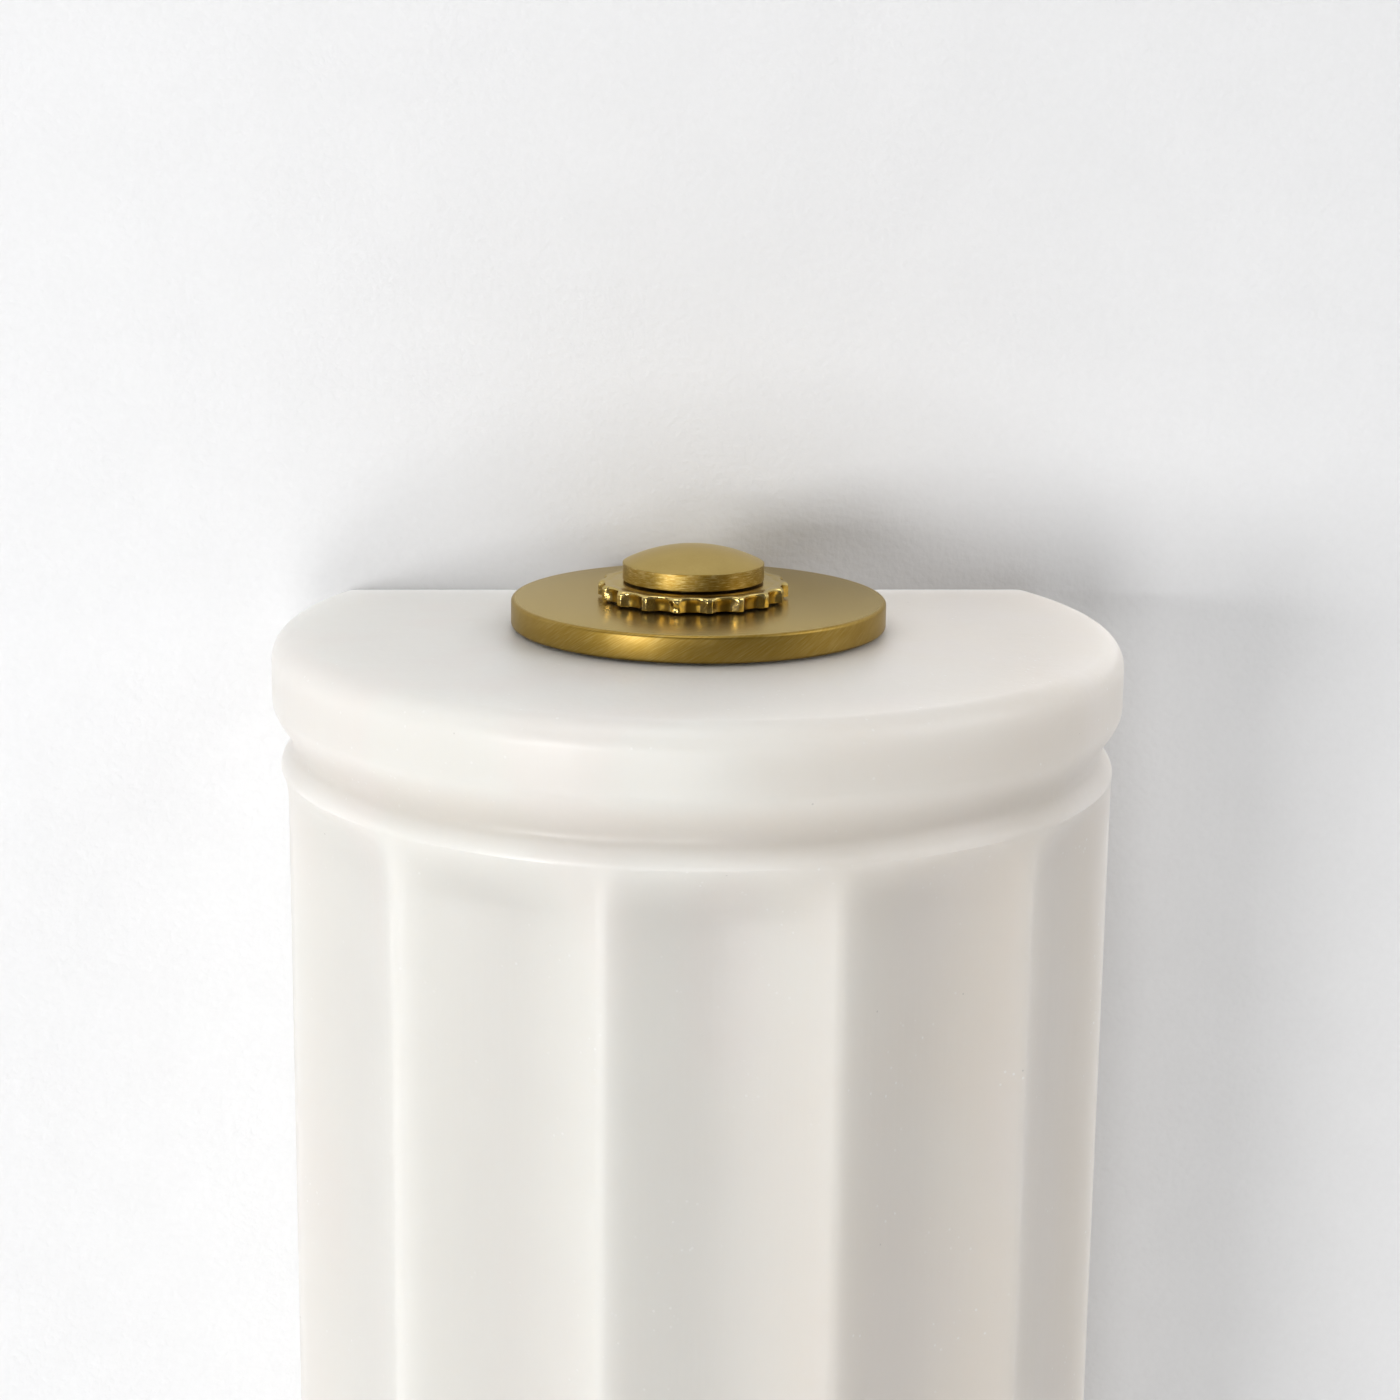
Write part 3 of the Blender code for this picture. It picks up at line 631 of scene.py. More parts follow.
grommet_low, grommet_high = box_mm("pan_grommet")
grommet = lathe("rubber_grommet", rounded([
    (3.2, grommet_low.z, 0.5), (5.5, grommet_low.z, 0.7), (5.5, pan_low.z - 0.3, 0.3),
    (4.0, pan_low.z - 0.3, 0.15), (4.0, pan_low.z + 1.5, 0.15), (5.5, pan_low.z + 1.5, 0.3),
    (5.5, grommet_high.z, 0.7), (3.2, grommet_high.z, 0.5)]), (0, grommet_y, 0), steps=56)
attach(grommet, "wall_frame")
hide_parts("pan_grommet")

rubber = Finish("black_rubber_matt", (0.03, 0.03, 0.03), 0.7)
bloom = rubber.noise(0.002, 3.0)
rubber.colour(bloom, (0.018, 0.018, 0.019), (0.055, 0.053, 0.05))
rubber.into("Roughness", 0.6 + bloom * 0.25)
rubber.relief(rubber.noise(0.0004, 2.0), 0.00004)
rubber.on(grommet)


# ---------------------------------------------------------------- brackets
# Two angles bent from zinc-plated sheet. The upper one carries the threaded nipple, the lower
# one the lamp holder, and each is riveted to the pan through its upright flange.

bracket_sheet = 2.0


def angle_bracket(name, node, flange_end, arm_outer, arm_inner, half_width, holes):
    """A bent sheet. Each hole is its centre, its radius and the way its drill points."""
    low, high = box_mm(node)
    back, tip = high.y, low.y
    corners = [(back, flange_end, 0.3), (back, arm_outer, 3.2), (tip, arm_outer, 0.5),
               (tip, arm_inner, 0.5), (back - bracket_sheet, arm_inner, 1.2),
               (back - bracket_sheet, flange_end, 0.3)]
    made = slab(name, [rounded(corners, 8)], -half_width, half_width, along="X")
    for centre, radius, along in holes:
        if along == "Z":
            foot, head = centre[2] - 9, centre[2] + 9
            drill = lathe("drill", [(0, foot), (radius, foot), (radius, head), (0, head)],
                          (centre[0], centre[1], 0), 40)
        else:
            drill = slab("drill", [circle(radius, (centre[0], centre[2]))], -22.0, -12.0)
        carve(made, drill)
    bevelled(made, 0.18, segments=2, angle=50)
    smooth(made, 30)
    zinc_plate.on(made)
    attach(made, "wall_frame")
    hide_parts(node)


nipple_low, nipple_high = box_mm("threaded_nipple")
nipple_x = (nipple_low.x + nipple_high.x) / 2
nipple_y = (nipple_low.y + nipple_high.y) / 2
top_arm = box_mm("top_bracket")
low_arm = box_mm("lower_bracket")
holder_low, holder_high = box_mm("lamp_holder")
lamp_y = (holder_low.y + holder_high.y) / 2
pipe_clear = 5.4
lead_hole = 8.0
holder_screw_x = 11
holder_screw_hole = 1.8
angle_bracket("upper_angle", "top_bracket", top_arm[0].z, top_arm[1].z,
              top_arm[1].z - bracket_sheet, 12.0,
              [((nipple_x, nipple_y, top_arm[1].z), pipe_clear, "Z")]
              + [((x, 0, z), rivet_hole, "Y") for x, z in rivet_places[:2]])
angle_bracket("lower_angle", "lower_bracket", low_arm[1].z, low_arm[0].z,
              low_arm[0].z + bracket_sheet, 14.0,
              [((0, lamp_y, low_arm[0].z), lead_hole, "Z"),
               ((-holder_screw_x, lamp_y, low_arm[0].z), holder_screw_hole, "Z"),
               ((holder_screw_x, lamp_y, low_arm[0].z), holder_screw_hole, "Z")]
              + [((x, 0, z), rivet_hole, "Y") for x, z in rivet_places[2:]])


# ---------------------------------------------------------------- bracket rivets
# Steel rivets: a flat pan head inside the tray, and a set dome on the bracket's face. The
# second number of each point is its distance out from the wall.

for number, (x, z) in enumerate(rivet_places, start=1):
    rivet = lathe(f"steel_rivet_{number}", rounded([
        (0.0, 11.3, 0), (2.2, 11.3, 0.3), (2.6, 11.7, 0.2), (2.6, 12.5, 0.1), (1.5, 12.5, 0.1),
        (1.5, 16.6, 0.1), (3.0, 16.6, 0.15), (2.6, 17.7, 0.9), (1.2, 18.2, 1.0), (0.0, 18.3, 0)]),
        (x, 0, z), steps=40, along="Y")
    zinc_plate.on(rivet)
    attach(rivet, "wall_frame")
    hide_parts(f"bracket_rivet_{number}")


# ---------------------------------------------------------------- threaded nipple
# A hollow steel lamp pipe, threaded all along, that carries the shade and its brass top. It
# stands a little left of the glass's centre, in the play of its hole.

pipe_radius = 5.1
pipe_thread_depth = 0.5
pipe_pitch = 0.94
pipe_bore = 3.4
nipple = threaded("lamp_pipe", pipe_radius, pipe_thread_depth, pipe_pitch, nipple_low.z,
                  nipple_high.z, steps=48)
carve(nipple, lathe("pipe_bore", [(0, 70), (pipe_bore, 70), (pipe_bore, 120), (0, 120)],
                    (0, 0, 0), 40))
place(nipple, (nipple_x, nipple_y, 0))
smooth(nipple, 30)
zinc("zinc_pipe").on(nipple)
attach(nipple, "wall_frame")
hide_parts("threaded_nipple")
nipple_axis = (nipple_x, nipple_y, 0.0)


# ---------------------------------------------------------------- hex nut, washer and glass seat
# The nut and a split lock washer under the bracket grip the nipple. The flanged steel seat
# above it holds the glass up and centres it through a silicone ring.

hex_low, hex_high = box_mm("bracket_hex_nut")
hex_corner = 8.26
deselect()
bpy.ops.mesh.primitive_cylinder_add(vertices=6, radius=hex_corner * MM,
                                    depth=(hex_high.z - hex_low.z) * MM,
                                    rotation=(0, 0, math.radians(30)))
hex_nut = bpy.context.object
hex_nut.name = "pipe_hex_nut"
bpy.ops.object.transform_apply(location=False, rotation=True, scale=False)
hex_nut.data.transform(Matrix.Translation((0, 0, (hex_low.z + hex_high.z) / 2 * MM)))
carve(hex_nut, lathe("hex_turning", rounded([
    (pipe_clear, hex_low.z, 0.2), (7.3, hex_low.z, 0), (8.7, hex_low.z + 0.8, 0),
    (8.7, hex_high.z - 0.8, 0), (7.3, hex_high.z, 0), (pipe_clear, hex_high.z, 0.2)]),
    (0, 0, 0), 64), operation="INTERSECT")
place(hex_nut, nipple_axis)
smooth(hex_nut, 20)
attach(hex_nut, "wall_frame")
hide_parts("bracket_hex_nut")

washer_low, washer_high = box_mm("lock_washer")
washer = lathe("split_washer", rounded([
    (pipe_clear, washer_low.z, 0.12), (8.5, washer_low.z, 0.12), (8.5, washer_high.z, 0.12),
    (pipe_clear, washer_high.z, 0.12)], 3), (0, 0, 0), 96)
split = bar((5.0, 0.5, 3.0), (7.0, 0, 0))
split.data.transform(Matrix.Translation((0, 0, (washer_low.z + washer_high.z) / 2 * MM))
                     @ Matrix.Rotation(math.radians(35), 4, "X"))
carve(washer, split)
place(washer, nipple_axis)
smooth(washer)
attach(washer, "wall_frame")
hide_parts("lock_washer")

seat_low, seat_high = box_mm("glass_seat")
seat = lathe("flanged_glass_seat", rounded([
    (pipe_clear, seat_low.z, 0.15), (9.0, seat_low.z, 0.4), (9.0, seat_high.z - 1.0, 0.4),
    (18.0, seat_high.z - 1.0, 0.35), (18.0, seat_high.z, 0.35), (pipe_clear, seat_high.z, 0.15)]),
    nipple_axis, steps=96)
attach(seat, "wall_frame")
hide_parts("glass_seat")
zinc_plate.on(hex_nut, washer, seat)

silicone = Finish("clear_silicone_rubber", (0.74, 0.74, 0.71), 0.5, Subsurface_Weight=0.6,
                  Subsurface_Scale=0.002)
milky = silicone.noise(0.004, 2.0)
silicone.colour(milky, (0.70, 0.70, 0.67), (0.80, 0.80, 0.785))
silicone.into("Roughness", 0.42 + milky * 0.2)
silicone.relief(silicone.noise(0.0005, 2.0), 0.00003)


def silicone_ring(name, node, inner, outer, axis):
    """A flat washer between two radii, as thick as its CAD node."""
    low, high = box_mm(node)
    ring = lathe(name, rounded([(inner, low.z, 0.2), (outer, low.z, 0.3), (outer, high.z, 0.3),
                                (inner, high.z, 0.2)]), axis, steps=96)
    silicone.on(ring)
    return ring


lower_ring = silicone_ring("lower_silicone_ring", "lower_gasket", 5.6, 17.5, nipple_axis)
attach(lower_ring, "wall_frame")
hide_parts("lower_gasket")


# ---------------------------------------------------------------- lamp holder
# Glazed porcelain with a threaded brass shell for a medium screw base. Two screws hold it up
# against the lower bracket, and the leads enter through its floor.

lamp_axis = (0.0, lamp_y, 0.0)
holder_radius = 19.0
holder_bore = 14.1
holder_floor = -62.0
holder = lathe("porcelain_holder", rounded([
    (0.0, holder_low.z, 0), (15.5, holder_low.z, 1.2), (holder_radius, holder_low.z + 3.5, 1.5),
    (holder_radius, -38.0, 0.8), (17.8, -36.5, 0.8), (17.8, holder_high.z - 1.5, 1.0),
    (16.3, holder_high.z, 0.8), (holder_bore, holder_high.z, 0.8), (holder_bore, holder_floor, 0.8),
    (0.0, holder_floor, 0)]), lamp_axis, steps=96)
for x, radius, low, high in ((-6, 1.5, -76, -58), (6, 1.5, -76, -58),
                             (-holder_screw_x, holder_screw_hole, -76, -65.5),
                             (holder_screw_x, holder_screw_hole, -76, -65.5)):
    carve(holder, lathe("holder_drill", [(0, low), (radius, low), (radius, high), (0, high)],
                        (x, lamp_y, 0), 24))
smooth(holder, 30)
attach(holder, "wall_frame")
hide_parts("lamp_holder")

glaze = Finish("glazed_porcelain", (0.84, 0.82, 0.77), 0.18, Coat_Weight=0.4, Coat_Roughness=0.05)
pooling = glaze.noise(0.012, 2.0)
iron_spot = glaze.cells(0.006).step(0.035, 0.015)
glaze.colour(pooling * 0.7 + iron_spot, (0.87, 0.85, 0.80), (0.74, 0.71, 0.64))
glaze.into("Roughness", 0.14 + pooling * 0.12)
glaze.relief(glaze.noise(0.005, 2.0), 0.00012)
glaze.on(holder)

shell_low, shell_high = box_mm("holder_shell")


def rolled_sleeve(name, crest, inner, depth, pitch, low, high):
    """A thin sleeve with a rounded thread rolled into it, open at both ends."""
    rows = round((high - low) / pitch * 12)
    heights = [low + (high - low) * step / rows for step in range(rows + 1)]
    outline = [(crest, height) for height in heights]
    outline += [(inner, height) for height in reversed(heights)]
    sleeve = lathe(name, outline, (0, 0, 0), steps=72)
    for vertex in sleeve.data.vertices:
        turn = math.atan2(vertex.co.y, vertex.co.x) / math.tau
        end = min(vertex.co.z / MM - low, high - vertex.co.z / MM)
        wave = (1 - math.cos(math.tau * ((vertex.co.z / MM) / pitch - turn))) / 2
        vertex.co.xy -= vertex.co.xy.normalized() * depth * wave * min(1.0, end / 1.5) * MM
    return sleeve


screw_pitch = 3.63
holder_shell = rolled_sleeve("holder_brass_shell", 13.8, 13.5, 0.3, screw_pitch,
                             shell_low.z, shell_high.z)
place(holder_shell, lamp_axis)
smooth(holder_shell, 60)
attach(holder_shell, "wall_frame")
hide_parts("holder_shell")
tongue_low, tongue_high = box_mm("holder_contact")
tongue = lathe("holder_brass_contact", rounded([
    (0.0, tongue_low.z, 0), (4.2, tongue_low.z, 0.1), (4.2, tongue_low.z + 0.8, 0.2),
    (2.2, tongue_low.z + 1.1, 0.4), (2.2, tongue_high.z - 0.6, 0.4), (1.6, tongue_high.z, 0.4),
    (0.0, tongue_high.z, 0)]), lamp_axis, steps=48)
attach(tongue, "wall_frame")
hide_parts("holder_contact")

shell_brass = Finish("plain_brass_sheet", (0.66, 0.50, 0.22), 0.28, metallic=1.0)
dulled = shell_brass.noise(0.004, 3.0)
drawn = shell_brass.noise(0.0005, 2.0, at=shell_brass.stretched(0.4, 0.4, 1.0))
shell_brass.colour(dulled, (0.50, 0.35, 0.13), (0.76, 0.60, 0.30))
shell_brass.into("Roughness", 0.2 + dulled * 0.18)
shell_brass.relief(drawn, 0.00001)
shell_brass.on(holder_shell, tongue)

for number, x in enumerate((-holder_screw_x, holder_screw_x), start=1):
    head_low, head_high = box_mm(f"holder_screw_{number}")
    screw = lathe(f"holder_fixing_{number}", rounded([
        (0.0, head_low.z, 0), (3.0, head_low.z, 1.2), (3.0, head_low.z + 2.1, 0.15),
        (1.5, head_low.z + 2.1, 0.1), (1.5, head_high.z, 0.3), (0.0, head_high.z, 0)]),
        (x, lamp_y, 0), steps=48)
    carve(screw, bar((7.0, 0.8, 1.6), (x, lamp_y, head_low.z)))
    smooth(screw)
    zinc_plate.on(screw)
    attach(screw, "wall_frame")
    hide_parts(f"holder_screw_{number}")


# ---------------------------------------------------------------- leads and ground wire
# Two sleeved leads drop from the holder, pass back under the pan and up through its grommet to
# the wire connectors. The bare copper ground loops under its screw and crosses to the third.

def smooth_route(points, between):
    """Catmull-Rom curve through the given points."""
    route = [Vector(point) for point in points]
    padded = [2 * route[0] - route[1]] + route + [2 * route[-1] - route[-2]]
    run = []
    for a, b, c, d in zip(padded, padded[1:], padded[2:], padded[3:]):
        for step in range(between):
            t = step / between
            run.append(0.5 * (2 * b + (c - a) * t + (2 * a - 5 * b + 4 * c - d) * t ** 2
                              + (3 * b - a - 3 * c + d) * t ** 3))
    return run + [route[-1]]


def wire(name, points, radius):
    """A round wire through the points, made a mesh."""
    curve = bpy.data.curves.new(name, "CURVE")
    curve.dimensions = "3D"
    curve.bevel_depth = radius * MM
    curve.bevel_resolution = 6
    curve.use_fill_caps = True
    run = smooth_route(points, 8)
    spline = curve.splines.new("POLY")
    spline.points.add(len(run) - 1)
    for knot, point in zip(spline.points, run):
        knot.co = (*(point * MM), 1.0)
    made = bpy.data.objects.new(name, curve)
    bpy.context.scene.collection.objects.link(made)
    pick(made)
    bpy.ops.object.convert(target="MESH")
    smooth(made, 60)
    return made


lead_radius = 1.2
ground_radius = 0.8
lead_route = [(6, -42, -64), (6, -42, -71), (5.9, -41, -78), (5.2, -35.5, -85), (4, -25, -88.5),
              (2.7, -14.5, -87), (1.8, -8.6, -82), (1.6, -7, -76), (1.6, -7, -68), (5, -7, -59),
              (13, -7, -52), (20, -7, -46), (22, -7, -39), (22, -7, -32)]
ground_route = [(3.0, -2.7, 12.0), (2.1, -2.7, 14.1), (0, -2.7, 15.0), (-2.1, -2.7, 14.1),
                (-3.1, -2.7, 11.5), (-5, -2.9, 7), (-11, -4.5, 2), (-18, -6.5, 1.5), (-22, -7, 6),
                (-22, -7, 12), (-22, -7, 19)]
for name, side, tones in (("lead_live", 1, ((0.022, 0.022, 0.024), (0.06, 0.06, 0.06))),
                          ("lead_neutral", -1, ((0.74, 0.73, 0.69), (0.84, 0.83, 0.80)))):
    lead = wire(f"{name}_sleeved", [(side * x, y, z) for x, y, z in lead_route], lead_radius)
    sleeve = Finish(f"{name}_sleeve", tones[0], 0.5)
    scuffed = sleeve.noise(0.0016, 3.0)
    sleeve.colour(scuffed, *tones)
    sleeve.into("Roughness", 0.38 + scuffed * 0.3)
    sleeve.relief(sleeve.noise(0.0005, 2.0), 0.00003)
    sleeve.on(lead)
    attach(lead, "wall_frame")
    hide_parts(name)
bare = wire("ground_wire_bare", ground_route, ground_radius)
copper = Finish("bare_copper", (0.72, 0.38, 0.22), 0.3, metallic=1.0)
oxide = copper.noise(0.002, 3.0)
copper.colour(oxide, (0.46, 0.20, 0.10), (0.82, 0.47, 0.29))
copper.into("Roughness", 0.2 + oxide * 0.22)
copper.relief(copper.noise(0.0004, 2.0), 0.00001)
copper.on(bare)
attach(bare, "wall_frame")
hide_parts("ground_wire")


# ---------------------------------------------------------------- wire connectors
# Red nylon twist-on caps over the joined wires: a tapered body with grip ribs and a plain skirt.

nylon = Finish("red_nylon_cap", (0.55, 0.06, 0.04), 0.45, Subsurface_Weight=0.1,
               Subsurface_Scale=0.001)
flow = nylon.noise(0.004, 3.0)
nylon.colour(flow, (0.46, 0.035, 0.025), (0.64, 0.085, 0.055))
nylon.into("Roughness", 0.36 + flow * 0.2)
nylon.relief(nylon.noise(0.0005, 2.0), 0.00003)
connector_y = -7
rib_start = 6.4
rib_count = 12
rib_depth = 0.35
for number, x in enumerate((22, -22, -22), start=1):
    low, high = box_mm(f"wire_connector_{number}")
    twist_cap = lathe(f"twist_cap_{number}", rounded([
        (0.0, low.z + 9.0, 0), (1.8, low.z + 9.0, 0.3), (1.8, low.z, 0.2), (4.6, low.z, 0.3),
        (5.3, low.z + 1.2, 0.4), (5.3, low.z + 6.0, 0.5), (4.75, low.z + 6.6, 0.2),
        (3.9, high.z - 1.5, 0.8), (3.0, high.z - 0.4, 0.6), (0.0, high.z, 0)], 4),
        (x, connector_y, 0), steps=120)
    for vertex in twist_cap.data.vertices:
        reach = Vector((vertex.co.x - x * MM, vertex.co.y - connector_y * MM))
        along = (vertex.co.z / MM - low.z - rib_start) / (high.z - low.z - rib_start)
        if along > 0 and reach.length > 3.0 * MM:
            turn = math.atan2(reach.y, reach.x)
            swell = math.sin(math.pi * min(1.0, along))
            groove = rib_depth * max(0.0, math.cos(rib_count * turn)) * swell
            vertex.co.xy -= reach.normalized() * groove * MM
    nylon.on(twist_cap)
    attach(twist_cap, "wall_frame")
    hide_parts(f"wire_connector_{number}")


# ---------------------------------------------------------------- bulb
# A clear tubular lamp with a medium screw base. Its four long glowing strips stand round a
# glass stem; here it is unlit, so their phosphor coat is yellow.

base_low, base_high = box_mm("bulb_shell")
base = rolled_sleeve("bulb_screw_shell", 12.9, 12.55, 0.5, screw_pitch, base_low.z, base_high.z)
place(base, lamp_axis)
smooth(base, 60)
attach(base, "bulb_thread")
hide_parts("bulb_shell")
tip_low, tip_high = box_mm("bulb_contact")
tip = lathe("bulb_tip_contact", rounded([
    (0.0, tip_low.z, 0), (2.4, tip_low.z + 0.1, 0.8), (3.4, tip_low.z + 0.8, 0.3),
    (3.4, tip_high.z, 0.1), (0.0, tip_high.z, 0)]), lamp_axis, steps=48)
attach(tip, "bulb_thread")
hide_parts("bulb_contact")
nickel.on(base, tip)

bead_low, bead_high = box_mm("bulb_insulator")
bead = lathe("bulb_glass_bead", rounded([
    (0.0, bead_low.z, 0), (4.0, bead_low.z, 0.8), (11.0, bead_high.z - 0.3, 0.12),
    (11.0, bead_high.z, 0.1), (0.0, bead_high.z, 0)]), lamp_axis, steps=64)
vitrite = Finish("black_glass_bead", (0.02, 0.02, 0.03), 0.12)
bubbles = vitrite.cells(0.0012).step(0.2, 0.1)
vitrite.into("Roughness", 0.08 + vitrite.noise(0.003, 2.0) * 0.14)
vitrite.colour(bubbles, (0.015, 0.015, 0.022), (0.05, 0.05, 0.06))
vitrite.relief(vitrite.noise(0.002, 2.0) - bubbles * 0.3, 0.00006)
vitrite.on(bead)
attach(bead, "bulb_thread")
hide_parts("bulb_insulator")

envelope_low, envelope_high = box_mm("bulb_envelope")
tube_radius = (envelope_high.x - envelope_low.x) / 2
tube_wall = 1.0
tube_shoulder = envelope_high.z - tube_radius


def envelope_side(inset):
    """Neck, shoulder and hemispherical end of the tube, from its rim up to its top."""
    reach = tube_radius - inset
    neck = rounded([(12.0 - inset, envelope_low.z, 0), (12.0 - inset, -31.0, 2.5),
                    (reach, -21.0, 5.0), (reach, tube_shoulder, 0)], 8)
    climbs = [math.radians(6 * step) for step in range(1, 15)]
    dome = [(reach * math.cos(climb), tube_shoulder + reach * math.sin(climb)) for climb in climbs]
    return [tuple(point) for point in neck] + dome + [(0.0, tube_shoulder + reach)]


envelope = lathe("bulb_tube", list(reversed(envelope_side(tube_wall))) + envelope_side(0.0),
                 lamp_axis, steps=96)
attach(envelope, "bulb")
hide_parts("bulb_envelope")
stem = lathe("bulb_glass_stem", rounded([
    (0.0, -35.0, 0), (9.8, -35.0, 0.3), (9.8, -34.2, 0.3), (5.0, -29.0, 3.0), (2.6, -22.0, 3.0),
    (2.6, -8.0, 0.8), (1.4, -7.0, 0.4), (0.0, -7.0, 0)]), lamp_axis, steps=64)
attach(stem, "bulb")
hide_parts("bulb_stem")
clear_glass = Finish("clear_bulb_glass", (0.97, 0.985, 0.985), 0.02, IOR=1.5,
                     Transmission_Weight=1.0)
smear = clear_glass.noise(0.008, 2.0)
clear_glass.into("Roughness", 0.01 + smear * 0.03)
clear_glass.relief(clear_glass.noise(0.01, 2.0), 0.00008)
clear_glass.on(envelope, stem)

phosphor = Finish("phosphor_coat", (0.90, 0.62, 0.12), 0.6)
grainy = phosphor.noise(0.0004, 3.0)
phosphor.colour(grainy, (0.82, 0.50, 0.06), (0.94, 0.72, 0.22))
phosphor.into("Roughness", 0.5 + grainy * 0.2)
phosphor.relief(grainy, 0.00004)
strip_spread = 6.0
for number in range(1, 5):
    strip_low, strip_high = box_mm(f"bulb_filament_{number}")
    turn = math.radians(45 + 90 * (number - 1))
    at = (strip_spread * math.cos(turn), lamp_y + strip_spread * math.sin(turn), 0)
    strip = lathe(f"bulb_strip_{number}", rounded([
        (0.0, strip_low.z, 0), (0.35, strip_low.z, 0.1), (0.35, strip_low.z + 1.5, 0.05),
        (1.0, strip_low.z + 1.5, 0.4), (1.0, strip_high.z - 1.5, 0.4),
        (0.35, strip_high.z - 1.5, 0.05), (0.35, strip_high.z, 0.1), (0.0, strip_high.z, 0)], 4), at, steps=24)
    phosphor.on(strip)
    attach(strip, "bulb")
    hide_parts(f"bulb_filament_{number}")


# ---------------------------------------------------------------- glass shade
# Mould-blown opal glass with a flat ground back: a plain band at each end, a soft groove, and
# wide hollow flutes between. It hangs by its top plate from the nipple and is open below.

glass_low, glass_high = box_mm("glass_shade")
glass_x = (glass_low.x + glass_high.x) / 2
band_radius = (glass_high.x - glass_low.x) / 2
glass_y = glass_low.y + band_radius
glass_half = glass_high.z
edge_round = 3.5
ridge_radius = 56.5
flute_count = 12
flute_depth = 4.5
flute_top = 82.0
flute_end = 8.0
band_edge = 91.3
groove_floor = 85.2
groove_depth = 2.6
glass_inner = 48.5
glass_plate = 4.0
glass_hole = 6.5
glass_steps = 384


def plain_radius(height):
    """Outer radius of the glass with no flutes: band, groove and ridge line."""
    floor = band_radius - groove_depth
    if height >= band_edge:
        return band_radius
    if height >= groove_floor:
        along = (band_edge - height) / (band_edge - groove_floor)
        return band_radius - groove_depth * (1 - math.cos(math.pi * along)) / 2
    if height >= flute_top:
        along = (groove_floor - height) / (groove_floor - flute_top)
        return floor + (ridge_radius - floor) * (1 - math.cos(math.pi * along)) / 2
    return ridge_radius


def flute_sink(angle, height):
    """Depth of the flutes at an angle from the front, with scooped ends and soft ridges."""
    pitch = math.tau / flute_count
    across = 2 * (angle / pitch - round(angle / pitch))
    along = min(1.0, max(0.0, (abs(height) - (flute_top - flute_end)) / flute_end))
    soft = 0.035
    ridge = math.sqrt((1 - abs(across)) ** 2 + soft ** 2) - soft
    return flute_depth * ridge * (1 + abs(across)) * (1 - along ** 2)


def glass_outline():
    """The plain glass: up the outside, under the bottom edge, up the inside and over the top."""
    turns = [math.radians(7.5 * step) for step in range(13)]
    edge = [(band_radius - edge_round * (1 - math.sin(turn)),
             glass_half - edge_round * (1 - math.cos(turn))) for turn in turns]
    heights = [band_edge - (band_edge - groove_floor) * step / 16 for step in range(16)]
    heights += [groove_floor - (groove_floor - flute_top) * step / 10 for step in range(10)]
    heights += [flute_top - flute_end * step / 22 for step in range(22)]
    heights += [(flute_top - flute_end) * (1 - step / 8) for step in range(8)]
    upper = edge + [(plain_radius(height), height) for height in heights]
    lower = [(radius, -height) for radius, height in reversed(upper)]
    inside = rounded([(glass_inner, -glass_half, 1.2), (glass_inner, glass_half - glass_plate, 3.0),
                      (glass_hole, glass_half - glass_plate, 0.4), (glass_hole, glass_half, 0.4)])
    flat = [(radius, glass_half) for radius in (16.0, 28.0, 40.0, 48.0)]
    return upper + [(ridge_radius, 0.0)] + lower + [tuple(point) for point in inside] + flat


shade = lathe("opal_shade", glass_outline(), (glass_x, glass_y, 0), steps=glass_steps)
for vertex in shade.data.vertices:
    out = Vector((vertex.co.x - glass_x * MM, vertex.co.y - glass_y * MM))
    if out.length > (glass_inner + 1.5) * MM and abs(vertex.co.z) < (flute_top + 4) * MM:
        sink = flute_sink(math.atan2(out.x, -out.y), vertex.co.z / MM)
        vertex.co.xy -= out.normalized() * sink * MM
pick(shade)
bpy.ops.object.mode_set(mode="EDIT")
bpy.ops.mesh.select_all(action="SELECT")
bpy.ops.mesh.bisect(plane_co=(0, glass_high.y * MM, 0), plane_no=(0, 1, 0), use_fill=False,
                    clear_outer=True, threshold=0.0000001)
bpy.ops.mesh.select_all(action="DESELECT")
bpy.ops.mesh.select_mode(type="EDGE")
bpy.ops.mesh.select_non_manifold()
bpy.ops.mesh.fill(use_beauty=True)
close_mesh()
smooth(shade)
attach(shade, "shade")
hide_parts("glass_shade")

opal = Finish("opal_shade_glass", (0.66, 0.64, 0.59), 0.38, IOR=1.45, Subsurface_Weight=0.85,
              Subsurface_Radius=(0.9, 0.95, 1.0), Subsurface_Scale=0.015)
angle, radius, height = opal.around((glass_x * MM, glass_y * MM))
x = opal.axes()[0]
haze = opal.noise(0.03, 2.0)
# Painted shade: the glass is coloured darker and warmer towards its right side, away from the main lamps.
warm_right_painted_shade = (x + haze * 0.05 - 0.02).step(-0.01, 0.05)
tint = opal.mixed(warm_right_painted_shade * 0.7, (0.665, 0.65, 0.612), (0.655, 0.59, 0.525))
blush = opal.noise(0.016, 1.0, at=opal.spot(angle * 0.05, radius, height * 0.35)).step(0.48, 0.72)
# Painted shade: the upper groove under the band is coloured darker and warmer, as shade in the recess.
groove_painted_shade = height.step(82.0 * MM, 85.5 * MM) * height.step(91.5 * MM, 87.5 * MM)
tint = opal.mixed(groove_painted_shade * 0.6, tint, (0.64, 0.595, 0.54))
tint = opal.mixed(blush * 0.5, tint, (0.66, 0.615, 0.58))
clusters = opal.noise(0.009, 1.0).step(0.5, 0.68)
seeds = opal.cells(0.0016).step(0.16, 0.05) * clusters
tint = opal.mixed(seeds * 0.7, tint, (0.76, 0.75, 0.73))
specks = opal.cells(0.008).step(0.022, 0.01)
opal.colour(specks * 0.5, tint, (0.35, 0.33, 0.31))
draw = opal.noise(0.0011, 2.0, at=opal.spot(angle * 0.055, radius, height * 0.02))
opal.into("Roughness", 0.34 + haze * 0.06 + draw * 0.05)
opal.relief(draw * 0.35 + opal.noise(0.004, 2.0) * 0.9 + seeds * 0.4, 0.00006)
opal.on(shade)


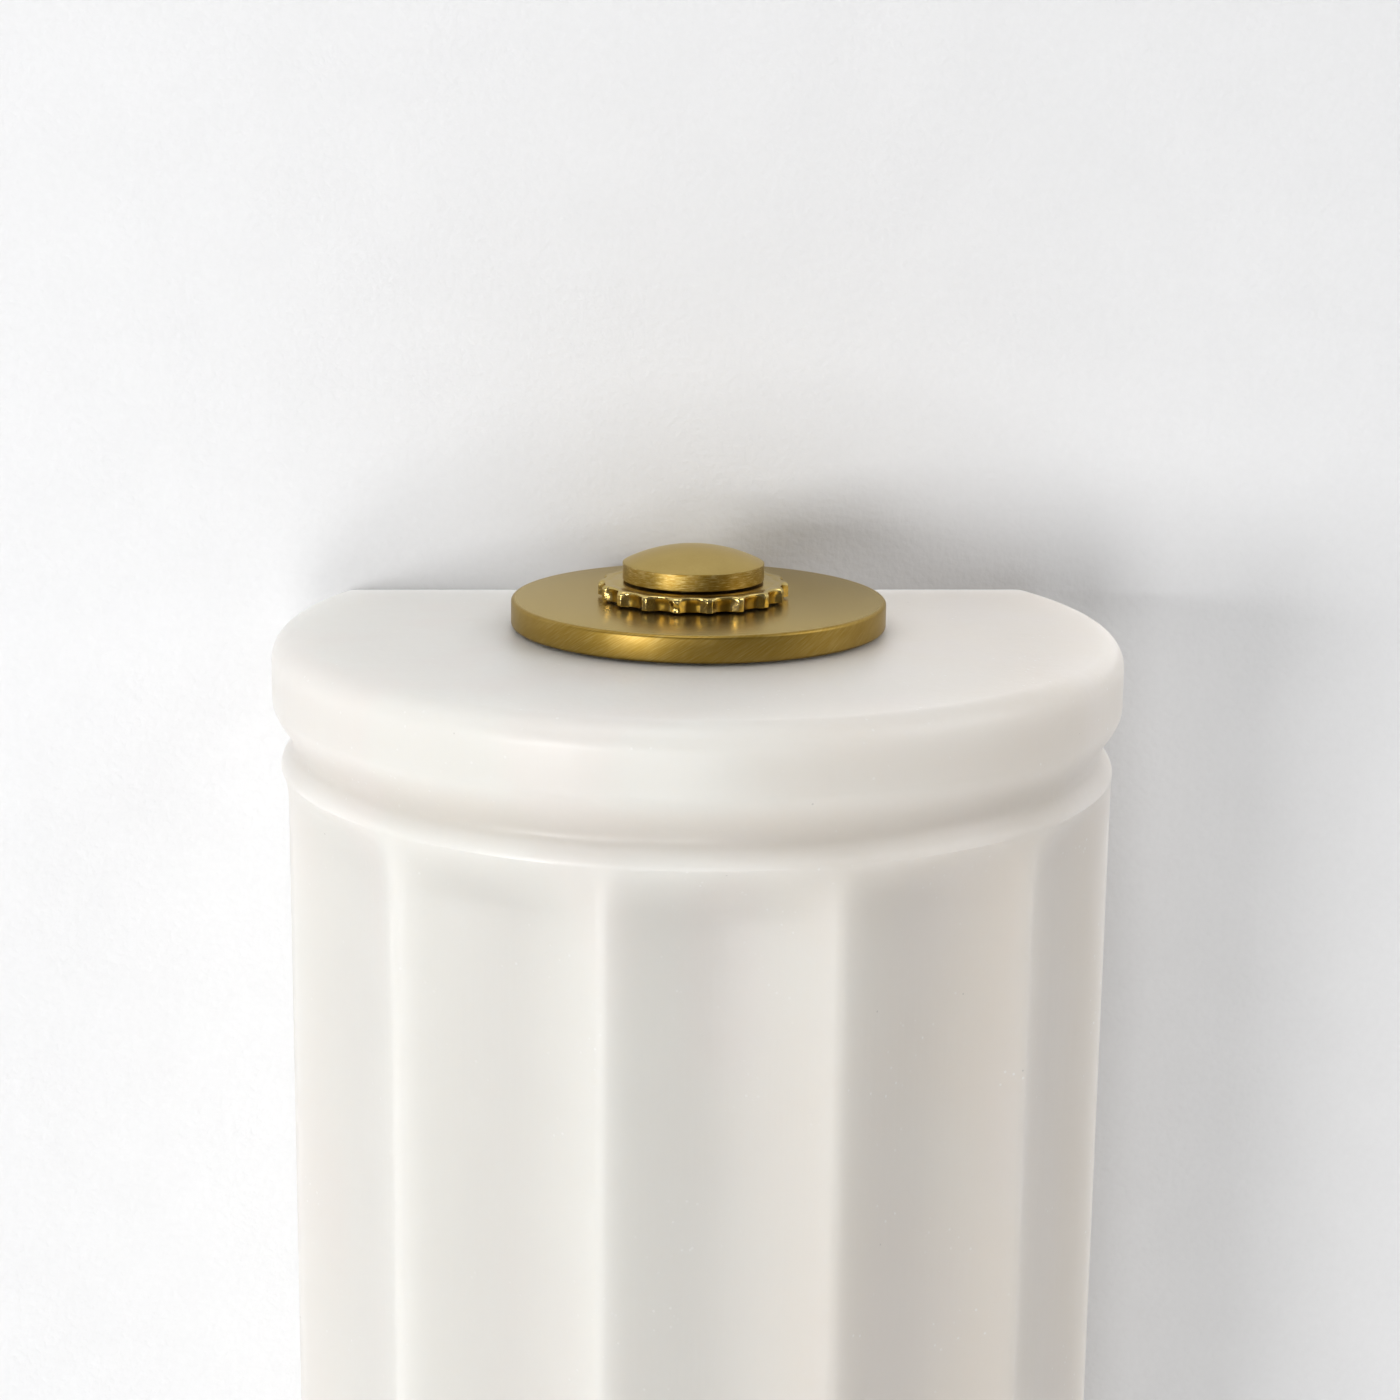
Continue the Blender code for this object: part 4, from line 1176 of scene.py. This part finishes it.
# ---------------------------------------------------------------- upper gasket
# A clear silicone washer under the brass disc, hidden in its recess, so that brass never
# presses straight on glass.

disc_axis = (disc_top.x / MM, disc_top.y / MM, 0.0)
upper_ring = silicone_ring("upper_silicone_ring", "upper_gasket", 6.4, 19.5, disc_axis)
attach(upper_ring, "top_plate")
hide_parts("upper_gasket")


# ---------------------------------------------------------------- brass disc
# A turned brass plate that spreads the nut's pull over the glass. Its flat face is satin, its
# side is rubbed on a slant by hand, and it is recessed underneath for the gasket.

BRASS_LIGHT = (0.57, 0.435, 0.155)
BRASS_MID = (0.45, 0.31, 0.075)
BRASS_DARK = (0.27, 0.16, 0.008)
BRASS_EDGE = (0.76, 0.68, 0.46, 1.0)
LACQUER = {"Specular_Tint": BRASS_EDGE, "Coat_Weight": 0.42, "Coat_Roughness": 0.32,
           "Coat_IOR": 1.6}

plate_low, plate_high = box_mm("top_disc")
plate_radius = (plate_high.x - plate_low.x) / 2
plate = lathe("brass_disc", rounded([
    (6.3, plate_low.z + 1.2, 0.15), (20.0, plate_low.z + 1.2, 0.2), (20.0, plate_low.z, 0.2),
    (plate_radius, plate_low.z, 0.45), (plate_radius, plate_high.z, 0.5),
    (6.3, plate_high.z, 0.15)], 7), disc_axis, steps=256)
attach(plate, "top_plate")
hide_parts("top_disc")

rubbed = Finish("brass_disc_finish", BRASS_MID, 0.34, metallic=1.0, **LACQUER)
angle, radius, height = rubbed.around(disc_top)
on_side = radius.step((plate_radius - 0.7) * MM, (plate_radius - 0.1) * MM)
round_side = angle * (plate_radius * MM)
slant = math.radians(32)
down_stroke = round_side * math.cos(slant) + height * math.sin(slant)
over_stroke = height * math.cos(slant) - round_side * math.sin(slant)
stroke = rubbed.noise(0.00014, 3.0, at=rubbed.spot(down_stroke * 0.05, 0.0, over_stroke),
                      roughness=0.6)
patches = rubbed.noise(0.0016, 3.0, at=rubbed.spot(down_stroke * 0.4, 0.0, over_stroke))
cloudy = rubbed.noise(0.006, 2.0)
grain = rubbed.noise(0.0003, 2.0)
# Painted light and shade: the flat top face is coloured lighter and the side darker, on top of the random
# clouding, grain and slanted brushing strokes.
face_tone = 0.54 + cloudy * 0.08 + grain * 0.06
brushed_side_with_painted_shade = stroke * 0.7 + patches * 0.2 - 0.13
tone = face_tone * (1 - on_side) + brushed_side_with_painted_shade * on_side
rubbed.colour(tone.step(0.2, 0.85), BRASS_DARK, BRASS_LIGHT)
rubbed.into("Roughness", 0.24 + cloudy * 0.03 + on_side * (0.1 + stroke * 0.08))
rubbed.relief(grain * 0.015 * (1 - on_side) + stroke * on_side * 0.35, 0.00003)
rubbed.on(plate)


# ---------------------------------------------------------------- scalloped lock nut
# A cast and tumbled brass nut, with a threaded bushing pressed in, that clamps the disc.
# Eighteen hollows give the fingers a grip; their rims are worn, and the hollows are coloured darker as painted
# shade.

def thread_bushing(name, node):
    """The pressed-in sleeve that holds the thread of the nut or the cap."""
    low, high = box_mm(node)
    bushing = lathe(name, rounded([(pipe_clear, low.z, 0.15), (6.6, low.z, 0.1), (6.6, high.z, 0.1),
                                   (pipe_clear, high.z, 0.15)]), nipple_axis, steps=72)
    shell_brass.on(bushing)
    return bushing


bushing = thread_bushing("nut_thread_bushing", "nut_bushing")
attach(bushing, "nut_thread")
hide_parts("nut_bushing")

nut_low, nut_high = box_mm("scalloped_nut")
nut_radius = 12.9
nut_hollow = 1.1
nut_count = 18
nut_turn = math.radians(-3.4)
nut_grip = 10.4
nut_land = 0.16
nut_hollow_foot = 0.8
tumble_grain = 900
tumble_depth = 0.03
knock_grain = 520
knock_from = 0.12
knock_depth = 0.55


def nut_cut(turn):
    """How far a hollow cuts in at an angle, from 0 on the lands to 1 in the middle."""
    pitch = math.tau / nut_count
    share = (turn - nut_turn) / pitch
    across = abs(2 * (share - round(share))) / (1 - nut_land)
    return 1 - across ** 2.5 if across < 1 else 0.0


nut = lathe("lock_nut", rounded([
    (6.9, nut_high.z, 0.2), (6.9, nut_low.z, 0.2), (nut_radius, nut_low.z, 0.12),
    (nut_radius, nut_low.z + 0.5, 0), (nut_radius, nut_low.z + 0.8, 0), (nut_radius, nut_low.z + 1.0, 0),
    (nut_radius, nut_low.z + 1.2, 0), (nut_radius, nut_low.z + 1.35, 0), (nut_radius, nut_high.z, 0.55),
    (11.7, nut_high.z, 0), (11.5, nut_high.z - 0.04, 0), (10.9, nut_high.z - 0.04, 0),
    (10.7, nut_high.z, 0)], 7), nipple_axis, steps=720)
for vertex in nut.data.vertices:
    out = Vector((vertex.co.x / MM - nipple_x, vertex.co.y / MM - nipple_y))
    if out.length > nut_grip:
        turn = math.atan2(out.x, -out.y)
        climb = vertex.co.z / MM - nut_low.z - nut_hollow_foot
        rise = min(1.0, max(0.0, climb / (nut_high.z - nut_low.z - nut_hollow_foot)))
        cut = nut_cut(turn) * (1 - 0.5 * rise ** 2)
        share = (out.length - nut_grip) / (nut_radius - nut_grip)
        tumbled = tumble_depth + noise.noise(vertex.co * tumble_grain) * tumble_depth
        lump = noise.noise(vertex.co * knock_grain + Vector((3, 1, 7)))
        knock = max(0.0, lump - knock_from) * knock_depth * (1 - cut)
        sink = cut * nut_hollow + max(0.0, tumbled + knock)
        vertex.co.xy -= out.normalized() * sink * share * MM
smooth(nut, 50)
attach(nut, "lock_nut")
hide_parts("scalloped_nut")

cast = Finish("brass_nut_finish", BRASS_MID, 0.26, metallic=1.0, **LACQUER)
angle, radius, height = cast.around((nipple_x * MM, nipple_y * MM))
wave = ((angle - nut_turn) * nut_count).math("COSINE")
in_hollow = wave.step(-0.35, 0.55) * radius.step(12.35 * MM, 12.0 * MM)
in_hollow = in_hollow * radius.step(11.3 * MM, 11.6 * MM)
in_hollow = in_hollow * height.step((nut_high.z - 0.25) * MM, (nut_high.z - 0.6) * MM)
worn = cast.noise(0.0012, 3.0)
pitting = cast.noise(0.0003, 3.0)
# Painted shade: the hollows are coloured darker than the lands; wear and pitting vary at random.
tone = 0.5 + worn * 0.35 + pitting * 0.15 - in_hollow * 0.7
cast.colour(tone.step(0.0, 0.95), BRASS_DARK, BRASS_LIGHT)
cast.into("Roughness", 0.14 + worn * 0.1 + in_hollow * 0.14)
cast.relief(worn * 0.5 + pitting * 0.2, 0.00006)
cast.on(nut)


# ---------------------------------------------------------------- domed cap
# A turned brass cap that screws over the end of the nipple and hides it. The side keeps the
# fine rings of the lathe tool, and the shallow dome is rubbed to a satin.

cap_bushing = thread_bushing("cap_thread_bushing", "cap_bushing")
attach(cap_bushing, "cap_thread")
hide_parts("cap_bushing")

cap_low, cap_high = box_mm("finial_cap")
cap_radius = (cap_high.x - cap_low.x) / 2
cap_rim = 109.0
cap_bore_top = 109.3
rim_chamfer = 0.2
dome_radius = 21.0
dome_hub = cap_high.z - dome_radius
rim_turn = math.asin((cap_radius - rim_chamfer) / dome_radius)
dome = [(dome_radius * math.sin(rim_turn * (1 - step / 24)),
         dome_hub + dome_radius * math.cos(rim_turn * (1 - step / 24)), 0) for step in range(24)]
cap = lathe("domed_cap", rounded([
    (0.0, cap_bore_top, 0), (6.9, cap_bore_top, 0.1), (6.9, cap_low.z, 0.15),
    (cap_radius, cap_low.z, 0.12), (cap_radius, cap_rim - rim_chamfer, 0)] + dome
    + [(0.0, cap_high.z, 0)]), nipple_axis, steps=256, angle=25)
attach(cap, "finial")
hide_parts("finial_cap")

tooled = Finish("brass_cap_finish", BRASS_MID, 0.34, metallic=1.0, **LACQUER)
angle, radius, height = tooled.around((nipple_x * MM, nipple_y * MM))
on_side = radius.step(9.42 * MM, 9.54 * MM)
rings = tooled.noise(0.00014, 4.0, at=tooled.spot(angle * 0.0009, 0.0, height), roughness=0.7)
soft_cloud = tooled.noise(0.004, 3.0)
pin = tooled.noise(0.0003, 2.0)
# Painted shade: the turned side is coloured darker on average than the dome, besides its lathe rings.
tone = (0.46 + soft_cloud * 0.12 + pin * 0.08) * (1 - on_side) + (rings * 2.4 - 0.85) * on_side
tooled.colour(tone.step(0.2, 0.85), BRASS_DARK, BRASS_LIGHT)
tooled.into("Roughness", 0.32 + soft_cloud * 0.05 + on_side * rings * 0.1)
tooled.relief(pin * 0.02 * (1 - on_side) + rings * on_side * 0.8, 0.00004)
tooled.on(cap)


# ---------------------------------------------------------------- size and finish

size = {"cad": [list(cad_low), list(cad_high)], "visual": [list(corner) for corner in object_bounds()]}
